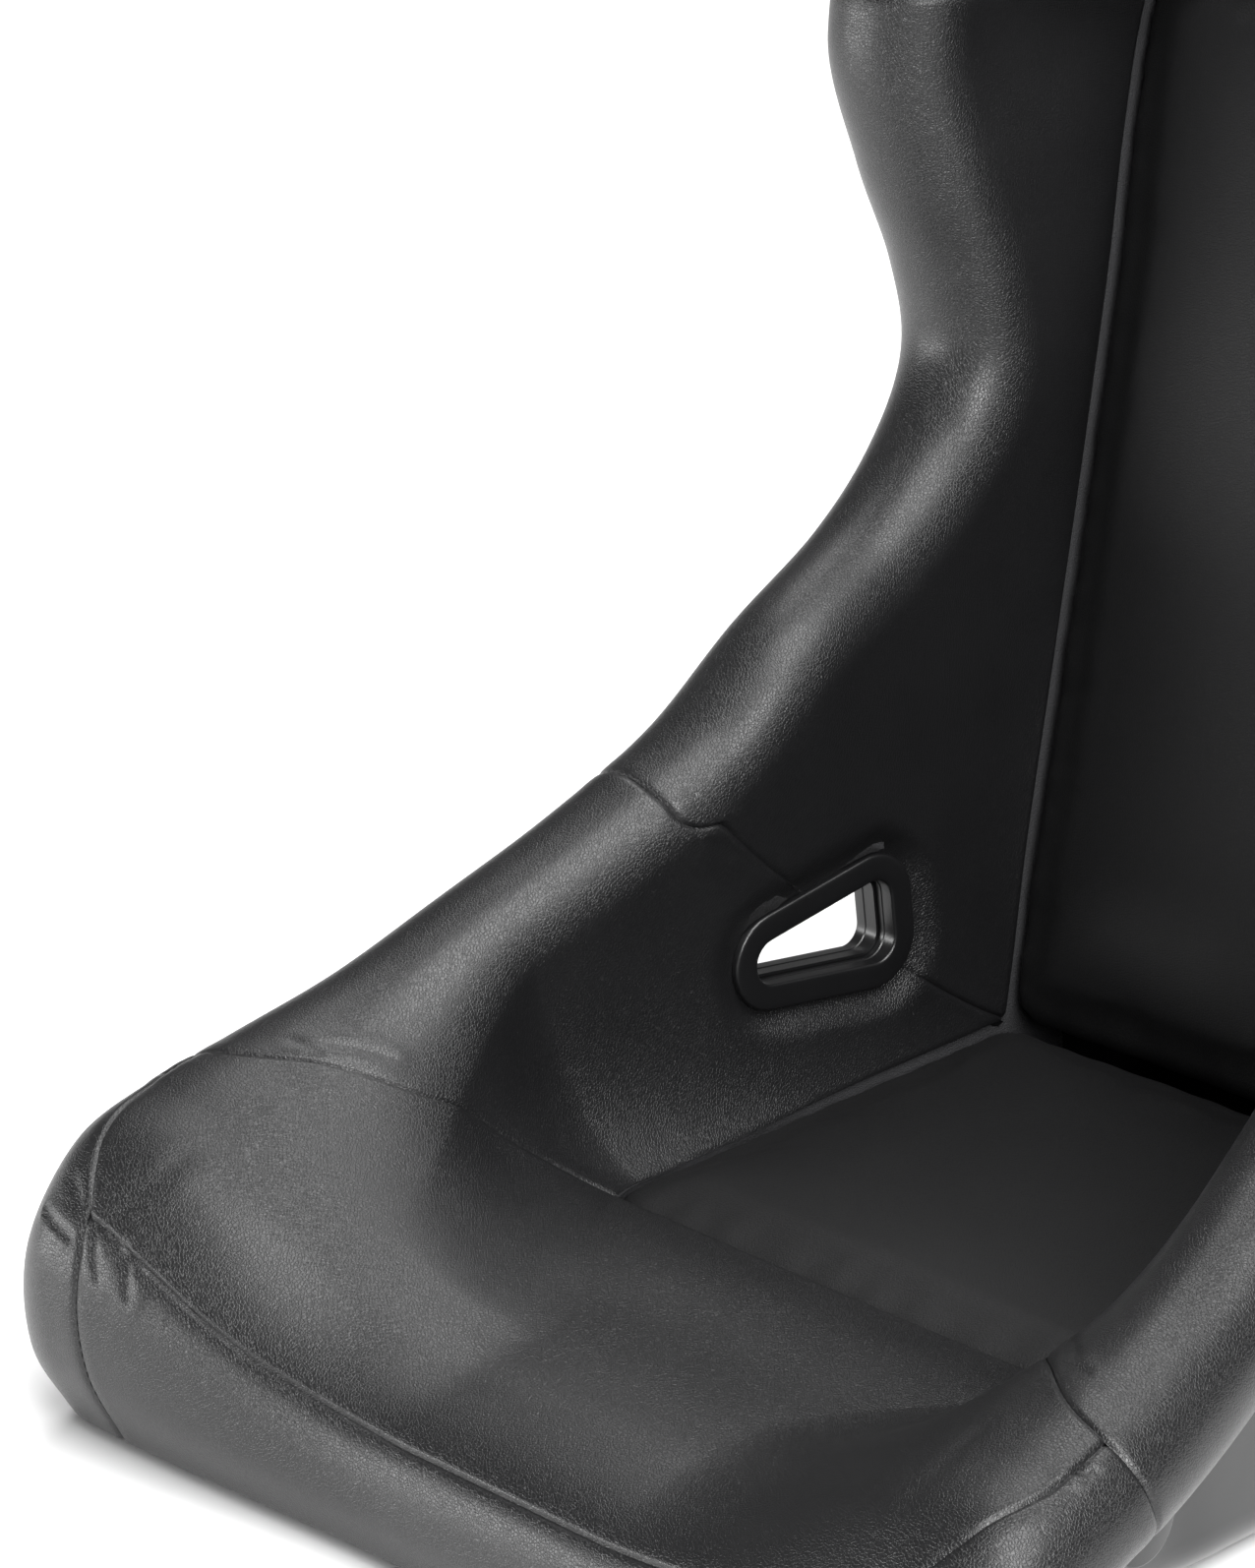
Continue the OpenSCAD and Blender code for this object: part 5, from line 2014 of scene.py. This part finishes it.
@dataclass(frozen=True)
class Stitching:
    """Thread that shows as short stitches in the valleys of the seams."""

    pitch: float = 5.2
    length: float = 3.4
    thickness: float = 0.6
    depth: float = 1.5
    column_end: float = 4.35
    seed: int = 7

    def lines(self) -> list[Array]:
        """Paths of the seams on both sides, in millimetres.

        Returns:
            One polyline for each visible run of a seam.
        """
        # the upper half of an even run over both sides, so that no point falls on the middle
        over = np.linspace(-FORM.crest, FORM.crest, 200)[100:]
        side = np.linspace(0.4, FORM.edge - 0.3, 160)
        column = np.linspace(0.1, self.column_end, 120)
        seams = ((FORM.front_seam(over), over), (FORM.crest_seam(side), side),
                 (FORM.mid_seam(side), side), (np.full_like(side, FORM.neck_seam), side),
                 (column, FORM.side_seam(column)))
        slots = BeltSlots()
        kept = []
        for station, index in seams:
            line = FORM.trim(station, index, inward=self.depth)
            hidden = np.zeros(len(line), bool)
            for slot in (slots.lap(), slots.shoulder()):
                hidden |= slot.covers(line)
            runs = np.split(np.arange(len(line)), np.flatnonzero(np.diff(hidden)) + 1)
            kept += [line[run] for run in runs if not hidden[run[0]] and len(run) > 2]
        return kept + [line * MIRROR for line in kept]

    def tree(self, material: bpy.types.Material) -> bpy.types.NodeTree:
        """Node tree that sets stitches along the edges of a mesh.

        Args:
            material: material of the thread.

        Returns:
            The node tree.
        """
        tree = bpy.data.node_groups.new("stitches_on_seams", "GeometryNodeTree")
        face = tree.interface
        face.new_socket("Geometry", in_out="INPUT", socket_type="NodeSocketGeometry")
        for name in ("Pitch", "Length", "Thickness"):
            socket = face.new_socket(name, in_out="INPUT", socket_type="NodeSocketFloat")
            socket.default_value = 0.001
        seed = face.new_socket("Seed", in_out="INPUT", socket_type="NodeSocketInt")
        seed.default_value = self.seed
        face.new_socket("Geometry", in_out="OUTPUT", socket_type="NodeSocketGeometry")
        enter = add_node(tree, "NodeGroupInput")
        curve = add_node(tree, "GeometryNodeMeshToCurve", {"Mesh": enter.outputs["Geometry"]})
        points = add_node(tree, "GeometryNodeCurveToPoints", {
            "Curve": curve.outputs["Curve"], "Length": enter.outputs["Pitch"]}, mode="LENGTH")
        bead = add_node(tree, "GeometryNodeMeshUVSphere", {
            "Segments": 6, "Rings": 5, "Radius": 0.5})
        size = add_node(tree, "ShaderNodeCombineXYZ", {
            "X": enter.outputs["Thickness"], "Y": enter.outputs["Thickness"],
            "Z": enter.outputs["Length"]})
        sway = add_node(tree, "FunctionNodeRandomValue", {
            "Min": (-0.06, -0.06, 0.0), "Max": (0.06, 0.06, 0.0),
            "Seed": enter.outputs["Seed"]}, data_type="FLOAT_VECTOR")
        turn = add_node(tree, "FunctionNodeRotateRotation", {
            "Rotation": points.outputs["Rotation"],
            "Rotate By": add_node(tree, "FunctionNodeEulerToRotation", {
                "Euler": sway.outputs["Value"]}).outputs["Rotation"]}, rotation_space="LOCAL")
        laid = add_node(tree, "GeometryNodeInstanceOnPoints", {
            "Points": points.outputs["Points"], "Instance": bead.outputs["Mesh"],
            "Rotation": turn.outputs["Rotation"], "Scale": size.outputs["Vector"]})
        real = add_node(tree, "GeometryNodeRealizeInstances", {
            "Geometry": laid.outputs["Instances"]})
        dressed = add_node(tree, "GeometryNodeSetMaterial", {
            "Geometry": real.outputs["Geometry"], "Material": material})
        add_node(tree, "NodeGroupOutput", {"Geometry": dressed.outputs["Geometry"]})
        return tree

    def build(self) -> bpy.types.Object:
        """Lay the stitches and leave them as one plain mesh.

        Returns:
            The stitches as one object.
        """
        mesh = bpy.data.meshes.new("seam_stitches")
        points, edges = [], []
        for line in self.lines():
            first = len(points)
            points += (line * MM).tolist()
            edges += [(first + k, first + k + 1) for k in range(len(line) - 1)]
        mesh.from_pydata(points, edges, [])
        obj = bpy.data.objects.new("seam_stitches", mesh)
        bpy.context.scene.collection.objects.link(obj)
        tree = self.tree(THREAD.build())
        tool = obj.modifiers.new("stitches", "NODES")
        tool.node_group = tree
        values = {"Pitch": self.pitch * MM, "Length": self.length * MM,
                  "Thickness": self.thickness * MM, "Seed": self.seed}
        for item in tree.interface.items_tree:
            if item.in_out == "INPUT" and item.name in values:
                tool[item.identifier] = values[item.name]
        bake(obj)
        obj.data.shade_smooth()
        return register(obj)


# ---- hardware

@dataclass(frozen=True)
class Hardware:
    """The CAD pieces that keep their own mesh and get a finish."""

    finishes: tuple[tuple[str, Finish], ...] = (
        ("mount_plate_left", ZINC_PLATE), ("mount_plate_right", ZINC_PLATE),
        ("mount_inserts_left", TURNED_STEEL), ("mount_inserts_right", TURNED_STEEL),
        ("cushion_hook_strips", HOOK_TAPE), ("back_hook_strips", HOOK_TAPE))

    def build(self) -> None:
        """Give each piece its material."""
        for name, finish in self.finishes:
            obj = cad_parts[name]
            obj.data.materials.clear()
            obj.data.materials.append(finish.build())
            log.info("%s: %s", name, finish.name)


# ---- studio

@dataclass(frozen=True)
class Softbox:
    """A soft rectangular lamp, in metres and watts."""

    name: str
    at: tuple[float, float, float]
    goal: tuple[float, float, float]
    size: tuple[float, float]
    power: float

    def build(self) -> None:
        """Add the lamp to the scene."""
        data = bpy.data.lights.new(self.name, "AREA")
        data.shape = "RECTANGLE"
        data.size, data.size_y = self.size
        data.energy = self.power
        obj = bpy.data.objects.new(self.name, data)
        obj.location = self.at
        obj.rotation_mode = "QUATERNION"
        obj.rotation_quaternion = (Vector(self.goal) - Vector(self.at)).to_track_quat("-Z", "Y")
        bpy.context.scene.collection.objects.link(obj)


@dataclass(frozen=True)
class Studio:
    """Pale floor, soft overhead light and the camera."""

    overhead: tuple[float, float, float] = (0.45, -0.1, 0.9)
    overhead_spread: float = 42.0
    overhead_strength: float = 3.9
    softboxes: tuple[Softbox, ...] = (
        Softbox("softbox_front", (-1.9, -2.5, 0.3), (0, -0.3, 0.1), (2.6, 0.56), 60),
        Softbox("softbox_rear", (-0.5, 1.1, 2.4), (0, -0.25, 0.1), (2.6, 1.5), 58),
        Softbox("softbox_right", (2.5, -1.6, 1.7), (0, 0, 0.3), (1.2, 1.2), 105))
    sky: float = 0.16
    floor_half: float = 40.0
    floor_drop: float = 0.0004
    lens: float = 123.89
    sensor: float = 36.0
    azimuth: float = 44.7
    elevation: float = 20.8
    place: tuple[float, float, float] = (1.4655, -1.7457, 1.1597)

    def light(self) -> None:
        """Add the wide even light from above, the softboxes and the sky."""
        data = bpy.data.lights.new("softbox_over", "SUN")
        data.energy = self.overhead_strength
        data.angle = math.radians(self.overhead_spread)
        obj = bpy.data.objects.new("softbox_over", data)
        obj.location = Vector(self.overhead) * 3
        obj.rotation_mode = "QUATERNION"
        obj.rotation_quaternion = (-Vector(self.overhead)).to_track_quat("-Z", "Y")
        bpy.context.scene.collection.objects.link(obj)
        for softbox in self.softboxes:
            softbox.build()
        world = bpy.data.worlds.new("studio_sky")
        world.use_nodes = True
        tree = world.node_tree
        tree.nodes.clear()
        sky = add_node(tree, "ShaderNodeBackground", {"Color": linear("#ffffff"),
                                                      "Strength": self.sky})
        add_node(tree, "ShaderNodeOutputWorld", {"Surface": sky.outputs["Background"]})
        bpy.context.scene.world = world
        bpy.context.scene.view_settings.view_transform = "Standard"

    def floor(self) -> None:
        """Lay the floor just under the seat."""
        half, low = self.floor_half, -self.floor_drop
        mesh = bpy.data.meshes.new("studio_floor")
        mesh.from_pydata([(-half, -half, low), (half, -half, low), (half, half, low),
                          (-half, half, low)], [], [(0, 1, 2, 3)])
        mesh.materials.append(FLOOR.build())
        floor = bpy.data.objects.new("studio_floor", mesh)
        bpy.context.scene.collection.objects.link(floor)

    def shoot(self) -> None:
        """Place the camera."""
        data = bpy.data.cameras.new("camera")
        data.lens = self.lens
        data.sensor_width = self.sensor
        data.clip_start = 0.01
        camera = bpy.data.objects.new("camera", data)
        a, e = math.radians(self.azimuth), math.radians(self.elevation)
        look = Vector((-math.sin(a) * math.cos(e), math.cos(a) * math.cos(e), -math.sin(e)))
        camera.location = self.place
        camera.rotation_mode = "QUATERNION"
        camera.rotation_quaternion = look.to_track_quat("-Z", "Y")
        bpy.context.scene.collection.objects.link(camera)
        bpy.context.scene.camera = camera

    def build(self) -> None:
        """Set up the floor, the light and the camera."""
        self.floor()
        self.light()
        self.shoot()


def main() -> None:
    """Build the seat's pieces in order."""
    logging.basicConfig(level=logging.INFO, format="%(message)s")
    Studio().build()
    slots = BeltSlots()
    Shell().build(slots)
    Padding().build(slots)
    Cover().build(slots)
    slots.build()
    slots.clear()
    for cushion in (BaseCushion(), BackPad()):
        register(cushion.build(), cushion.nodes)
    Stitching().build()
    Hardware().build()
    bpy.context.view_layer.update()


if __name__ == "__main__":
    main()
